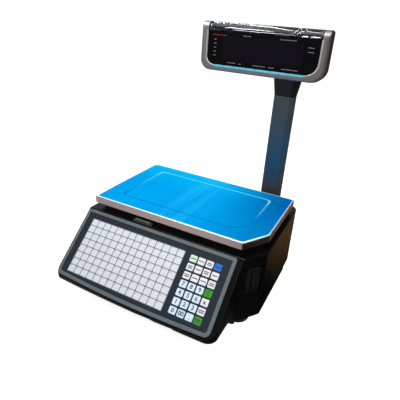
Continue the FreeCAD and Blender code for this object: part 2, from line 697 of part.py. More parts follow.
def display_board():
    """Driver board with a segment module towards each window."""
    middle = (DISPLAY_FRONT + DISPLAY_BACK) / 2
    board = box((-50, 172), (middle - 0.8, middle + 0.8), (462, 532))
    modules = [box((-40, 160), (middle + y, middle + y + 13.5), (474, 520)) for y in (-14, 0.5)]
    return fuse([board] + modules)


# --- label printer ------------------------------------------------------------------
FRAME_FLOOR = (24.0, 27.0)
FRAME_ROOF = (117.0, 119.0)
WEB_ALONG = 32.0
PLATEN_AXIS = from_corner(WEB_ALONG - PLATEN_RADIUS, WEB_DEPTH)
HEAD_PIVOT = from_corner(WEB_ALONG + 3, WEB_DEPTH + 38)
SPOOL_AXIS = PLATEN_AXIS + Vector(-(PLATEN_TEETH + SPOOL_TEETH) * GEAR_MODULE / 2, 0, 0)
GEAR_Z = (30.0, 36.0)
SHAFT_RADIUS = 3.0
HEAD_POST_RADIUS = 4.0
CORE_BORE = 17.0


def gear(teeth, centre, turn_deg):
    """Spur gear with straight-flanked teeth and generous backlash."""
    pitch = GEAR_MODULE * teeth / 2
    root, tip = pitch - 1.25 * GEAR_MODULE, pitch + 0.9 * GEAR_MODULE
    half_root, half_tip = 0.29 * 2 * math.pi / teeth, 0.11 * 2 * math.pi / teeth
    points = []
    for tooth in range(teeth):
        at = math.radians(turn_deg) + tooth * 2 * math.pi / teeth
        for radius, angle in ((root, -half_root), (tip, -half_tip), (tip, half_tip), (root, half_root)):
            corner = centre + Vector(math.cos(at + angle), math.sin(at + angle), 0) * radius
            points.append((corner.x, corner.y, 0))
    return prism(points, GEAR_Z)


def printer_frame():
    """Folded steel frame: floor, inner wall, roof, label outlet plate and the roll's hub."""
    floor = box((68, 186), (-84, 104), FRAME_FLOOR)
    nose = box((96, 150), (-122, -80), FRAME_FLOOR)
    nose_corner = corner_box((2, 50), (10, 60), FRAME_FLOOR)
    wall = box((68, 71), (-84, 104), (FRAME_FLOOR[0], 119))
    roof = box((68, 150), (-112, -52), FRAME_ROOF)
    roof_corner = corner_box((2, 46), (10, 50), FRAME_ROOF)
    outlet = corner_box((8, 54), (OUTLET_DEPTH, OUTLET_DEPTH + 2.5), (FRAME_FLOOR[0], FRAME_ROOF[1]))
    hub_plate = post(40, (FRAME_FLOOR[1] - 1, 30), ROLL_CENTRE)
    pedestal = post(21, (29, LABEL_BOTTOM - 1), ROLL_CENTRE)
    hub = post(CORE_BORE - RUNNING_CLEARANCE, (LABEL_BOTTOM - 2, LABEL_BOTTOM + LABEL_WIDTH - 4), ROLL_CENTRE)
    pivot = post(HEAD_POST_RADIUS, (FRAME_FLOOR[0], FRAME_ROOF[1]), HEAD_PIVOT)
    frame = fuse([floor, nose, nose_corner, wall, roof, roof_corner, outlet, hub_plate, pedestal, hub, pivot])
    web_z = (LABEL_BOTTOM - 1, LABEL_BOTTOM + LABEL_WIDTH + 1)
    slot = corner_box((WEB_ALONG - 1.5, WEB_ALONG + 1.5), (0, 20), web_z)
    bearings = [post(SHAFT_RADIUS + RUNNING_CLEARANCE, (20, 125), axis) for axis in (PLATEN_AXIS, SPOOL_AXIS)]
    return frame.cut(Part.Compound([slot] + bearings))


def platen_roller():
    """Rubber roller on a steel shaft, with its gear at the foot."""
    roller = post(PLATEN_RADIUS - 0.15, (LABEL_BOTTOM - 2, LABEL_BOTTOM + LABEL_WIDTH + 2), PLATEN_AXIS)
    shaft = post(SHAFT_RADIUS, (FRAME_FLOOR[0], 134), PLATEN_AXIS)
    return fuse([roller, shaft, gear(PLATEN_TEETH, PLATEN_AXIS, 0)])


def take_up_spool():
    """Spool that winds up the labels' backing strip, geared to the platen."""
    core = post(9, (42, 112), SPOOL_AXIS)
    flanges = [post(19, (40, 42), SPOOL_AXIS), post(19, (112, 114), SPOOL_AXIS)]
    slit = box((SPOOL_AXIS.x - 8, SPOOL_AXIS.x + 8), (SPOOL_AXIS.y - 10, SPOOL_AXIS.y - 5), (44, 110))
    shaft = post(SHAFT_RADIUS, (FRAME_FLOOR[0], FRAME_ROOF[1]), SPOOL_AXIS)
    half_tooth = 180.0 / SPOOL_TEETH
    collar = post(6, (GEAR_Z[0], 41), SPOOL_AXIS)
    return fuse([core.cut(slit), shaft, collar, gear(SPOOL_TEETH, SPOOL_AXIS, half_tooth)] + flanges)


def print_head():
    """Thermal head on a sprung arm that swings away from the platen."""
    z = (LABEL_BOTTOM - 1, LABEL_BOTTOM + LABEL_WIDTH + 1)
    near = WEB_ALONG + 0.4
    head = corner_box((near, near + 7), (WEB_DEPTH - 7, WEB_DEPTH + 9), z)
    fins = [corner_box((near + 6, near + 11), (depth, depth + 1.5), z) for depth in
            (WEB_DEPTH - 6, WEB_DEPTH - 2, WEB_DEPTH + 2, WEB_DEPTH + 6)]
    arm = corner_box((near + 1, near + 6), (WEB_DEPTH + 8, WEB_DEPTH + 38), (z[0] + 7, z[1] - 7))
    barrel = post(HEAD_POST_RADIUS + 3, (LABEL_BOTTOM - 4, LABEL_BOTTOM + LABEL_WIDTH + 2), HEAD_PIVOT)
    bore = post(HEAD_POST_RADIUS + RUNNING_CLEARANCE, (20, 125), HEAD_PIVOT)
    return fuse([head, arm, barrel] + fins).cut(bore)


def feed_motor():
    """Stepper motor over the platen's shaft."""
    middle, half = WEB_ALONG - PLATEN_RADIUS, 14.0
    along, depth = (middle - half, middle + half), (WEB_DEPTH - half, WEB_DEPTH + half)
    case = corner_box(along, depth, (FRAME_ROOF[1], 141))
    upright = [e for e in case.Edges if abs(e.Vertexes[0].Z - e.Vertexes[1].Z) > 20]
    boss = post(9, (140, 143), PLATEN_AXIS)
    bore = post(SHAFT_RADIUS + RUNNING_CLEARANCE, (100, 136), PLATEN_AXIS)
    return fuse([case.makeFillet(3, upright), boss]).cut(bore)


def label_roll():
    """Roll of labels wound on a card core."""
    top = LABEL_BOTTOM + LABEL_WIDTH
    labels = post(ROLL_RADIUS, (LABEL_BOTTOM, top), ROLL_CENTRE)
    core = post(CORE_BORE + 2, (LABEL_BOTTOM - 0.5, top + 0.5), ROLL_CENTRE)
    return fuse([labels, core]).cut(post(CORE_BORE, (0, 200), ROLL_CENTRE))


def printer_door():
    """Side door on two hinge pins, with a finger scoop at its front edge."""
    panel = box((BODY_RIGHT - WALL, BODY_RIGHT), DOOR_Y, DOOR_Z)
    hinge_edges = [e for e in edges_at_y(panel, DOOR_Y[1]) if e.Length > 50]
    panel = panel.makeFillet(1.1, hinge_edges)
    scoop = box((BODY_RIGHT - 1.5, BODY_RIGHT + 1), (DOOR_Y[0] + 4, DOOR_Y[0] + 18), (66, 100))
    pin = post(HINGE_PIN, (DOOR_Z[0] - 4, DOOR_Z[1] + 4), DOOR_AXIS)
    rib_x, rib_y = (BODY_RIGHT - WALL - 2, BODY_RIGHT - WALL), (DOOR_Y[0] + 6, DOOR_Y[1] - 12)
    ribs = [box(rib_x, rib_y, (z, z + 2)) for z in (50, 80, 110)]
    return fuse([panel.cut(scoop), pin] + ribs)


# --- the whole scale ----------------------------------------------------------------
def nodes():
    built = {
        "upper_housing": upper_housing(),
        "base_tray": base_tray(),
        "housing_screws": housing_screws(),
        "level_vial": level_vial(),
        "keyboard_bezel": keyboard_bezel(),
        "keypad_overlay": keypad_overlay(),
        "hotkey_card": hotkey_card(),
        "keyboard_board": keyboard_board(),
        "load_cell": load_cell(),
        "platter_support": platter_support(),
        "weighing_platter": weighing_platter(),
        "protective_film": protective_film(),
        "main_board": main_board(),
        "power_supply": power_supply(),
        "power_switch": power_switch(),
        "display_pole": display_pole(),
        "display_neck": display_neck(),
        "display_front_frame": display_front_frame(),
        "display_rear_shell": display_rear_shell(),
        "display_windows": display_windows(),
        "display_board": display_board(),
        "printer_door": printer_door(),
        "printer_frame": printer_frame(),
        "print_head": print_head(),
        "platen_roller": platen_roller(),
        "take_up_spool": take_up_spool(),
        "feed_motor": feed_motor(),
        "label_roll": label_roll(),
    }
    for name, place in FOOT_PLACES.items():
        built[name] = levelling_foot(place)
    for row, names in enumerate(KEY_NAMES):
        for column, name in enumerate(names):
            built[name] = key(column, row)
    return built


# From the platter's centre to the middle of the footprint.
FOOTPRINT_CENTRE = Vector((BODY_LEFT + DISPLAY_RIGHT + SHELL_LAP) / 2, (BODY_FRONT + DISPLAY_BACK) / 2, 0)

os.makedirs("parts", exist_ok=True)
for node_name, shape in nodes().items():
    shape.translate(-FOOTPRINT_CENTRE)
    shape.exportStep(f"parts/{node_name}.step")
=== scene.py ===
import json
import math
import random

import bmesh
import bpy
from mathutils import Matrix, Vector, noise


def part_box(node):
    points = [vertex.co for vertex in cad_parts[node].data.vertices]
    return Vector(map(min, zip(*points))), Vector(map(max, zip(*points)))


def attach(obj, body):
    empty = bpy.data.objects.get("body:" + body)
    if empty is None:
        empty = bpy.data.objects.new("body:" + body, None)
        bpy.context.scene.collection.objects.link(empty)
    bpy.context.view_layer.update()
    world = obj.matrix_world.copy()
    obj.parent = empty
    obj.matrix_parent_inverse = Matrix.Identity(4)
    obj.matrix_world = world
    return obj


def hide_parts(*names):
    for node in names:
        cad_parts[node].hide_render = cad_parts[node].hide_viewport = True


# Looks of a label-printing price scale. Lengths are in metres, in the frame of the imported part:
# +X is the operator's right, +Y runs from the operator to the display pole, +Z is up.

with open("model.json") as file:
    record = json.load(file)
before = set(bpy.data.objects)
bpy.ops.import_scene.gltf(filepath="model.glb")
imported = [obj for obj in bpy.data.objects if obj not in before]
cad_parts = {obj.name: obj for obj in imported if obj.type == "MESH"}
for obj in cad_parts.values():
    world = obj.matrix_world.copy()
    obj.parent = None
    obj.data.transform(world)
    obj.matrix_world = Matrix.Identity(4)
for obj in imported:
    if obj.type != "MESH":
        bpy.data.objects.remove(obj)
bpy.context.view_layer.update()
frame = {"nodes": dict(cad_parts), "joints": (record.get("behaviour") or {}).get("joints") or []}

MM = 0.001
TINY = 1e-12
RIGHT = Vector((1, 0, 0))
BACK = Vector((0, 1, 0))
UP = Vector((0, 0, 1))
JOINTS = {joint["name"]: joint for joint in frame["joints"]}
NODES = frame["nodes"]


# --- reading the frame ---
def span(node, direction):
    """Lowest and highest place of a CAD node along a direction."""
    places = [vertex.co.dot(direction) for vertex in NODES[node].data.vertices]
    return min(places), max(places)


def middle(pair):
    return (pair[0] + pair[1]) / 2


def turn(a, b, c):
    """Positive where the path a, b, c turns left."""
    return (b[0] - a[0]) * (c[1] - a[1]) - (b[1] - a[1]) * (c[0] - a[0])


def hull(points):
    """Corners of the convex outline around 2D points, anticlockwise."""
    ordered = sorted({(round(x, 7), round(y, 7)) for x, y in points})

    def chain(sequence):
        kept = []
        for point in sequence:
            while len(kept) > 1 and turn(kept[-2], kept[-1], point) <= TINY:
                kept.pop()
            kept.append(point)
        return kept[:-1]

    return chain(ordered) + chain(ordered[::-1])


def basis(across, upward, outward):
    """Matrix that stands a flat drawing on a face: its x, y and z run along these directions."""
    return Matrix((across, upward, outward)).transposed().to_4x4()


SLOPE_OUT = -Vector(JOINTS["press_key_5"]["axis"]).normalized()
SLOPE_UP = SLOPE_OUT.cross(RIGHT)
CONSOLE = basis(RIGHT, SLOPE_UP, SLOPE_OUT)
HEAD_FRONT = basis(RIGHT, UP, -BACK)
HEAD_BACK = basis(-RIGHT, UP, BACK)
AS_DRAWN = Matrix.Identity(4)


# --- materials ---
WHITE = (1.0, 1.0, 1.0, 1.0)
NOISE_MIDDLE = (0.3, 0.7)


def paint(red, green, blue):
    """A colour from its display values, 0 to 255."""
    def linear(value):
        value /= 255
        return value / 12.92 if value <= 0.04045 else ((value + 0.055) / 1.055) ** 2.4
    return (linear(red), linear(green), linear(blue), 1.0)


def shaded(colour, factor):
    return tuple(min(channel * factor, 1.0) for channel in colour[:3]) + (1.0,)


class Nodes:
    """Adds shader nodes to a node tree. An input takes a value or another node's output."""

    def __init__(self, tree):
        self.tree = tree

    def put(self, socket, value):
        if isinstance(value, bpy.types.NodeSocket):
            self.tree.links.new(value, socket)
        else:
            socket.default_value = value

    def node(self, kind, inputs=None, **settings):
        """A node of a kind, with its inputs by name or number."""
        made = self.tree.nodes.new("ShaderNode" + kind)
        for name, value in settings.items():
            setattr(made, name, value)
        for name, value in (inputs or {}).items():
            self.put(made.inputs[name], value)
        return made

    def ramp(self, value, low, high, at_low=0.0, at_high=1.0, smooth=False):
        """Runs from at_low to at_high while the value runs from low to high."""
        inputs = {"Value": value, "From Min": low, "From Max": high,
                  "To Min": at_low, "To Max": at_high}
        kind = "SMOOTHSTEP" if smooth else "LINEAR"
        return self.node("MapRange", inputs, interpolation_type=kind).outputs[0]

    def calc(self, operation, *values):
        return self.node("Math", dict(enumerate(values)), operation=operation).outputs[0]

    def times(self, a, b):
        return self.calc("MULTIPLY", a, b)

    def mix(self, factor, first, second):
        """One colour mixed into another."""
        inputs = {"Factor": factor, 6: first, 7: second}
        return self.node("Mix", inputs, data_type="RGBA").outputs[2]

    def mix_shaders(self, factor, first, second):
        return self.node("MixShader", {0: factor, 1: first, 2: second}).outputs[0]


class Look(Nodes):
    """A material built from procedural textures in the object's own coordinates."""

    def __init__(self, name):
        self.name = name
        self.material = bpy.data.materials.new(name)
        self.material.use_nodes = True
        super().__init__(self.material.node_tree)
        self.shader = self.tree.nodes["Principled BSDF"]
        self.place = self.node("TexCoord").outputs["Object"]

    def set(self, **inputs):
        for name, value in inputs.items():
            self.put(self.shader.inputs[name.replace("_", " ")], value)

    def show(self, shader):
        """Shows a shader in place of the plain one."""
        self.put(self.tree.nodes["Material Output"].inputs["Surface"], shader)

    def stretched(self, scale, turn_deg=(0, 0, 0)):
        """The object's coordinates, turned and then scaled per axis."""
        turned = tuple(math.radians(angle) for angle in turn_deg)
        inputs = {"Vector": self.place, "Scale": scale, "Rotation": turned}
        return self.node("Mapping", inputs).outputs[0]

    def noise(self, scale, detail=3.0, roughness=0.5, place=None, distortion=0.0):
        inputs = {"Vector": place or self.place, "Scale": scale, "Detail": detail,
                  "Roughness": roughness, "Distortion": distortion}
        return self.node("TexNoise", inputs).outputs["Fac"]

    def streaks(self, stretch, detail, roughness, turn_deg=(0, 0, 0), distortion=0.0):
        """Noise drawn out along the axis whose stretch is small."""
        return self.noise(1, detail, roughness, self.stretched(stretch, turn_deg), distortion)

    def varied(self, factor, low, high):
        """Runs from low to high over the middle of a noise."""
        return self.ramp(factor, *NOISE_MIDDLE, low, high)

    def cells(self, scale):
        inputs = {"Vector": self.place, "Scale": scale}
        return self.node("TexVoronoi", inputs).outputs["Distance"]

    def axis(self, name):
        return self.node("SeparateXYZ", {"Vector": self.place}).outputs[name]

    def bump(self, height, depth, under=None):
        """A bumped normal, its depth in millimetres."""
        inputs = {"Height": height, "Distance": depth * MM, "Strength": 1.0}
        if under is not None:
            inputs["Normal"] = under
        return self.node("Bump", inputs).outputs[0]

    def soft_edges(self, radius):
        """A normal that rounds the edges, its radius in millimetres."""
        return self.node("Bevel", {"Radius": radius * MM}, samples=6).outputs[0]

    def relief(self, height, depth, edge):
        """Bump over rounded edges."""
        return self.bump(height, depth, self.soft_edges(edge))

    def edge_mask(self, radius):
        """High near sharp edges, where handling wears a surface and where an edge highlight is
        painted.
        """
        flat = self.node("NewGeometry").outputs["Normal"]
        across = self.node("VectorMath", {0: self.soft_edges(radius), 1: flat},
                           operation="DOT_PRODUCT").outputs["Value"]
        return self.ramp(across, 0.995, 0.93)


def plastic(name, colour, rough, grain=0.01, grain_scale=1800, mottle=0.12, coat=0.0,
            wear_and_highlight=None, edge=0.5, shine=0.5):
    """Moulded plastic: fine texture, slow colour drift, smudged gloss, and paler edges that are
    partly handling wear and partly a painted edge highlight.
    Without a colour, the caller sets it."""
    look = Look(name)
    if colour:
        pale, dark = shaded(colour, 1 + mottle), shaded(colour, 1 - mottle)
        body = look.mix(look.noise(16, 4), dark, pale)
        # Paler colour near edges: partly handling wear, partly a painted edge highlight.
        if wear_and_highlight:
            body = look.mix(look.times(look.edge_mask(1.0), 0.7), body, wear_and_highlight)
        look.set(Base_Color=body)
    look.set(Roughness=look.varied(look.noise(28, 6, 0.7), rough * 0.8, rough * 1.3),
             Normal=look.relief(look.noise(grain_scale, 2), grain, edge),
             Coat_Weight=coat, Coat_Roughness=0.08, Specular_IOR_Level=shine)
    return look


def metal(name, colour, rough, stretch, streak=0.25):
    """Bare metal brushed along the axis whose stretch is small."""
    look = Look(name)
    lines = look.streaks(stretch, 5, 0.6)
    cloud = look.noise(20, 4)
    body = look.mix(lines, shaded(colour, 1 - streak), shaded(colour, 1 + streak * 0.5))
    roughness = look.ramp(look.calc("ADD", lines, cloud), 0.6, 1.4, rough * 0.75, rough * 1.3)
    look.set(Base_Color=body, Metallic=1.0, Roughness=roughness,
             Normal=look.relief(lines, 0.004, 0.4))
    return look


def cast_metal(name, colour, rough):
    """Cast or blasted metal with a fine pitted skin."""
    look = Look(name)
    body = look.mix(look.noise(40, 5, 0.6), shaded(colour, 0.75), shaded(colour, 1.15))
    look.set(Base_Color=body, Metallic=0.9,
             Roughness=look.varied(look.noise(60, 3), rough * 0.8, rough * 1.2),
             Normal=look.relief(look.cells(900), 0.03, 0.6))
    return look


def silver_look(name, colour, metallic):
    """Silver paint with metal flake."""
    look = Look(name)
    flake = look.cells(2600)
    body = look.mix(look.ramp(flake, 0.0, 0.6), shaded(colour, 1.25), shaded(colour, 0.85))
    body = look.mix(look.times(look.noise(18, 3), 0.25), body, shaded(colour, 0.7))
    look.set(Base_Color=body, Metallic=metallic,
             Roughness=look.varied(look.noise(40, 4), 0.3, 0.42),
             Normal=look.relief(flake, 0.004, 0.8), Coat_Weight=0.3, Coat_Roughness=0.1)
    return look


def film_look():
    """Blue peel-off film: soft streaks, painted reflections that make it lighter to the rear and
    darker to the right with a pale band near the middle, a pressed line with painted shade in front
    and a painted highlight at the rear, and a cut edge painted as a pale, glowing highlight.
    """
    look = Look("blue_film")
    low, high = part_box("weighing_platter")
    across = look.ramp(look.axis("X"), low.x, high.x)
    deep = look.ramp(look.axis("Y"), low.y, high.y)
    streaks = look.streaks((34, 2.2, 1), 4, 0.6)
    cloud = look.noise(7, 3, 0.5)
    body = look.mix(look.ramp(look.calc("ADD", streaks, cloud), 0.7, 1.3),
                    paint(2, 140, 208), paint(2, 156, 222))
    # Painted reflections: lighter to the rear, and darker to the right.
    body = look.mix(look.times(look.ramp(deep, 0.5, 1.0), 0.6), body, paint(6, 180, 238))
    dark = look.times(look.ramp(across, 0.5, 1.0, smooth=True),
                      look.ramp(deep, 0.0, 0.8, 0.45, 0.95))
    body = look.mix(dark, body, paint(2, 86, 154))
    # A pale streaked band near the middle: a painted reflection.
    band = look.times(look.ramp(across, 0.34, 0.47, smooth=True),
                      look.ramp(across, 0.5, 0.62, 1.0, 0.0, smooth=True))
    pale = look.times(band, look.ramp(look.streaks((90, 3, 1), 5, 0.7), 0.4, 0.75))
    body = look.mix(look.times(pale, 0.45), body, paint(40, 205, 250))
    # The pressed line, with painted shade in front and a painted highlight at the rear, and the cut
    # edge, painted pale as a highlight.
    fold, rim = (look.node("Attribute", attribute_name=name).outputs["Fac"]
                 for name in ("fold", "rim"))
    line = look.mix(look.ramp(deep, 0.4, 0.6), paint(0, 104, 186), paint(110, 224, 252))
    fold = look.times(fold, look.calc("ADD", look.ramp(deep, 0.12, 0.4, 0.8, 0.25),
                                      look.ramp(deep, 0.7, 0.86, 0.0, 0.6)))
    body = look.mix(fold, body, line)
    rim = look.times(rim, look.ramp(deep, 0.1, 0.3, 1.0, 0.35))
    body = look.mix(rim, body, paint(242, 253, 254))
    ripple = look.bump(look.noise(24, 2), 0.1)
    fine = look.bump(look.streaks((500, 18, 500), 3, 0.6), 0.003, ripple)
    # The cut edge also glows a little, as part of its painted highlight.
    look.set(Base_Color=body, Roughness=look.varied(streaks, 0.24, 0.34), Normal=fine,
             Specular_IOR_Level=0.0, Emission_Color=paint(225, 250, 255),
             Emission_Strength=look.times(rim, 0.3))
    return look


def window_look():
    """Black printed glass with light handling smears."""
    look = Look("smoked_window")
    smear = look.streaks((30, 30, 90), 5, 0.7, (0, 25, 0))
    look.set(Base_Color=look.mix(smear, paint(3, 3, 4), paint(6, 6, 9)),
             Specular_IOR_Level=0.16, Roughness=look.ramp(smear, 0.3, 0.75, 0.06, 0.16))
    return look


# Millimetres in from the main board's rearmost point: its parts lie beyond the first pair, its
# connectors short of the second.
BOARD_PARTS = (13.9, 13.7)
BOARD_CONNECTORS = (11.8, 11.6)


def board_look(name, connectors=False):
    """Green circuit board with fine tracks; black parts and grey connectors where asked."""
    look = Look(name)
    inputs = {"Vector": look.stretched((260, 260, 260)), "Scale": 1.0,
              "Color1": paint(10, 74, 38), "Color2": paint(14, 92, 48),
              "Mortar": paint(38, 128, 66), "Mortar Size": 0.04}
    tracks = look.node("TexBrick", inputs).outputs["Color"]
    body = look.mix(look.ramp(look.noise(50, 3), 0.4, 0.6, 0, 0.4), tracks, paint(8, 60, 32))
    if connectors:
        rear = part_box("main_board")[1].y
        black = look.mix(look.noise(120), paint(20, 20, 22), paint(34, 34, 37))
        grey = look.mix(look.noise(90), paint(52, 53, 56), paint(84, 85, 90))
        for (start, end), shares, colour in ((BOARD_PARTS, (1.0, 0.0), black),
                                             (BOARD_CONNECTORS, (0.0, 1.0), grey)):
            there = look.ramp(look.axis("Y"), rear - start * MM, rear - end * MM, *shares)
            body = look.mix(there, body, colour)
    look.set(Base_Color=body, Roughness=look.varied(look.noise(80), 0.3, 0.5),
             Normal=look.relief(look.noise(700), 0.02, 0.2))
    return look


def paper_look(name, colour):
    """Matt paper with fine fibres. Without a colour, the caller sets it."""
    look = Look(name)
    if colour:
        body = look.mix(look.noise(350, 5, 0.7), shaded(colour, 0.95), shaded(colour, 1.03))
        look.set(Base_Color=body)
    look.set(Roughness=look.varied(look.noise(120), 0.55, 0.75),
             Normal=look.bump(look.noise(1500, 4, 0.7), 0.02))
    return look


def roll_look():
    """Label roll: its ends show the wound layers as rings."""
    look = paper_look("label_paper", None)
    low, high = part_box("label_roll")
    from_core = tuple(-(low + high) / 2)
    moved = look.node("Mapping", {"Vector": look.place, "Location": from_core}).outputs[0]
    inputs = {"Vector": moved, "Scale": 190.0, "Distortion": 0.6, "Detail": 2.0}
    rings = look.node("TexWave", inputs, wave_type="RINGS", rings_direction="Z").outputs["Fac"]
    look.set(Base_Color=look.mix(rings, paint(206, 196, 170), paint(240, 238, 232)))
    return look


def vial_look():
    """Grey holder; the level's glossy tube with its two dark marks stands out of the top. The
    tube's green glass is painted greyer and darker as painted shade from the platter above.
    """
    look = plastic("vial", None, 0.4)
    low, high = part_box("level_vial")
    tube = look.ramp(look.axis("Z"), high.z - 1.75 * MM, high.z - 1.65 * MM)
    from_middle = look.calc("SUBTRACT", look.axis("X"), (low.x + high.x) / 2)
    mark_place, mark_half_width = 5.5 * MM, 0.5 * MM
    mark = look.calc("COMPARE", look.calc("ABSOLUTE", from_middle), mark_place, mark_half_width)
    # Greyed, darkened green glass: painted shade from the platter above.
    glass = look.mix(mark, paint(84, 92, 66), paint(10, 10, 10))
    grey = look.mix(look.noise(16, 4), paint(46, 50, 50), paint(58, 62, 62))
    look.set(Base_Color=look.mix(tube, grey, glass), Coat_Weight=tube)
    return look


def pole_look():
    """Slate paint on the column, with a painted reflection of the film's blue on its lower half."""
    look = plastic("pole_slate", None, 0.33, grain=0.008, coat=0.12, edge=1.0, shine=0.4)
    low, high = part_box("display_pole")
    share = look.ramp(look.axis("Z"), low.z, high.z)
    # Painted reflection of the film's blue.
    glow = look.times(look.ramp(share, 0.36, 0.56, smooth=True),
                      look.ramp(share, 0.6, 0.98, 1.0, 0.0, smooth=True))
    slate = look.mix(look.noise(16, 4), paint(50, 58, 62), paint(56, 65, 70))
    look.set(Base_Color=look.mix(glow, slate, paint(30, 66, 92)))
    return look


def rubber(name, colour):
    look = Look(name)
    dust = look.ramp(look.noise(45, 5, 0.7), 0.45, 0.75)
    look.set(Base_Color=look.mix(look.times(dust, 0.3), colour, paint(110, 108, 104)),
             Roughness=0.75, Normal=look.relief(look.noise(1300, 3), 0.03, 0.5))
    return look


def key_look(name, colour):
    """Satin key cap with a fine grain, greyer where fingers press."""
    look = Look(name)
    touch = look.ramp(look.noise(120, 4, 0.6), 0.4, 0.8)
    look.set(Base_Color=look.mix(look.times(touch, 0.25), colour, shaded(colour, 0.84)),
             Roughness=look.varied(look.noise(160, 3), 0.3, 0.45),
             Normal=look.relief(look.noise(2400, 2), 0.008, 0.3),
             Subsurface_Weight=0.05, Subsurface_Scale=1.0 * MM)
    return look


def ink_look(name, colour):
    look = Look(name)
    body = look.mix(look.noise(900, 3), shaded(colour, 0.85), shaded(colour, 1.2))
    look.set(Base_Color=body, Roughness=0.5)
    return look


def screen_look():
    """Unlit screen: deep navy with faint dots."""
    look = Look("display_screen")
    dots = look.ramp(look.cells(900), 0.2, 0.5)
    look.set(Base_Color=look.mix(dots, paint(5, 5, 10), paint(9, 8, 16)), Roughness=0.16,
             Specular_IOR_Level=0.16)
    return look


# Aqua colour for the strip below each window: a painted reflection along the lower bevel.
def aqua_reflection_look():
    look = Look("strip_aqua_reflection")
    look.set(Base_Color=look.mix(look.noise(60, 3), paint(40, 140, 166), paint(110, 206, 224)),
             Roughness=look.varied(look.noise(90), 0.18, 0.3), Coat_Weight=0.5)
    return look


def wrap_look():
    """Clear film: almost invisible, and milky in streaks where it gathers."""
    look = Look("clear_wrap")
    milky = look.ramp(look.streaks((40, 260, 260), 4, 0.6, distortion=0.6), 0.5, 0.8, 0.02, 0.3)
    look.set(Base_Color=paint(150, 156, 176), Roughness=look.varied(look.noise(200), 0.1, 0.25))
    clear = look.node("BsdfTransparent").outputs[0]
    look.show(look.mix_shaders(milky, clear, look.shader.outputs[0]))
    return look


def crease_highlight_look():
    """Folds of the clear film, painted near white as highlights and given a painted glow."""
    look = Look("wrap_creases")
    look.set(Base_Color=look.mix(look.noise(300, 3), paint(222, 226, 236), paint(252, 253, 255)),
             Roughness=look.varied(look.noise(150), 0.12, 0.3), Coat_Weight=0.6,
             # Painted glow on the folds, uneven along them.
             Emission_Color=paint(235, 240, 250),
             Emission_Strength=look.ramp(look.noise(90, 3), 0.35, 0.6, 0.05, 0.9))
    return look


# How much a brushed metal's noise is squeezed along each axis: least along the brushing.
BRUSHED_X = (12, 900, 900)
BRUSHED_Y = (900, 12, 900)
BRUSHED_Z = (900, 900, 12)
UNBRUSHED = (200, 200, 200)

LOOKS = {look.name: look for look in (
    plastic("black_housing", paint(11, 11, 11), 0.25, grain=0.004, mottle=0.18,
            wear_and_highlight=paint(26, 26, 28), edge=1.2, shine=0.26),
    metal("tray_steel", paint(128, 130, 133), 0.42, BRUSHED_X),
    metal("screw_steel", paint(165, 166, 170), 0.3, UNBRUSHED),
    vial_look(),
    plastic("bezel_grey", paint(96, 106, 112), 0.4, grain=0.012, wear_and_highlight=paint(140, 148, 152),
            edge=0.8, shine=0.3),
    plastic("overlay_slate", paint(40, 46, 54), 0.42, grain=0.02, grain_scale=2600, edge=0.2,
            shine=0.2),
    paper_look("card_white", paint(104, 106, 114)),
    board_look("circuit_board"),
    board_look("main_board", connectors=True),
    metal("aluminium", paint(178, 180, 184), 0.35, BRUSHED_X),
    cast_metal("cast_support", paint(120, 122, 124), 0.5),
    metal("stainless", paint(216, 206, 205), 0.3, BRUSHED_X, streak=0.22),
    film_look(),
    metal("psu_steel", paint(150, 152, 154), 0.4, BRUSHED_Z),
    plastic("rocker_black", paint(20, 20, 22), 0.3),
    pole_look(),
    plastic("neck_slate", paint(12, 20, 26), 0.4, grain=0.012, mottle=0.1, edge=0.8, shine=0.3),
    silver_look("frame_silver", paint(146, 143, 142), 0.75),
    silver_look("trim_silver", paint(196, 194, 191), 0.55),
    plastic("dark_plate", paint(24, 24, 25), 0.5, shine=0.3),
    plastic("shell_black", paint(30, 31, 34), 0.3, wear_and_highlight=paint(60, 60, 62), edge=1.0),
    window_look(),
    metal("printer_steel", paint(160, 162, 165), 0.36, BRUSHED_Y),
    metal("head_aluminium", paint(176, 177, 180), 0.34, BRUSHED_Z),
    rubber("roller_rubber", paint(34, 34, 36)),
    plastic("spool_plastic", paint(214, 216, 218), 0.45),
    metal("motor_steel", paint(96, 98, 102), 0.4, BRUSHED_Z),
    roll_look(),
    rubber("foot_rubber", paint(26, 26, 27)),
    key_look("key_white", paint(232, 233, 239)),
    key_look("key_digit", paint(214, 234, 248)),
    key_look("key_mint", paint(204, 238, 206)),
    key_look("key_blue", paint(28, 112, 208)),
    key_look("key_green", paint(60, 160, 34)),
)}
OWN_LOOKS = {"display_neck": "neck_slate", "printer_frame": "dark_plate",
             "main_board": "main_board"}


def dress_cad_nodes():
    """Give every CAD node its material: its own where named, otherwise that of its packed slot."""
    for name, node in NODES.items():
        slot = node.data.materials[0].name.split(".")[0]
        node.material_slots[0].link = "OBJECT"
        node.material_slots[0].material = LOOKS[OWN_LOOKS.get(name, slot)].material


# --- mesh helpers ---
def rounded_rectangle(centre, size, radius, steps=4):
    """Anticlockwise corners of a rounded rectangle."""
    points = []
    for quarter, (i, j) in enumerate(((1, 1), (-1, 1), (-1, -1), (1, -1))):
        x = centre[0] + i * (size[0] / 2 - radius)
        y = centre[1] + j * (size[1] / 2 - radius)
        for step in range(steps + 1):
            angle = (quarter + step / steps) * math.pi / 2
            points.append((x + radius * math.cos(angle), y + radius * math.sin(angle)))
    return points


def shrunk(points, distance):
    """A convex anticlockwise outline with each corner moved inwards."""
    sharpest, moved = 0.2, []
    for i, point in enumerate(points):
        before, here = Vector(points[i - 1]), Vector(point)
        after = Vector(points[(i + 1) % len(points)])
        a, b = (here - before).normalized(), (after - here).normalized()
        left = Vector((-a.y - b.y, a.x + b.x))
        moved.append(tuple(here + left.normalized() * distance / max(left.length / 2, sharpest)))
    return moved


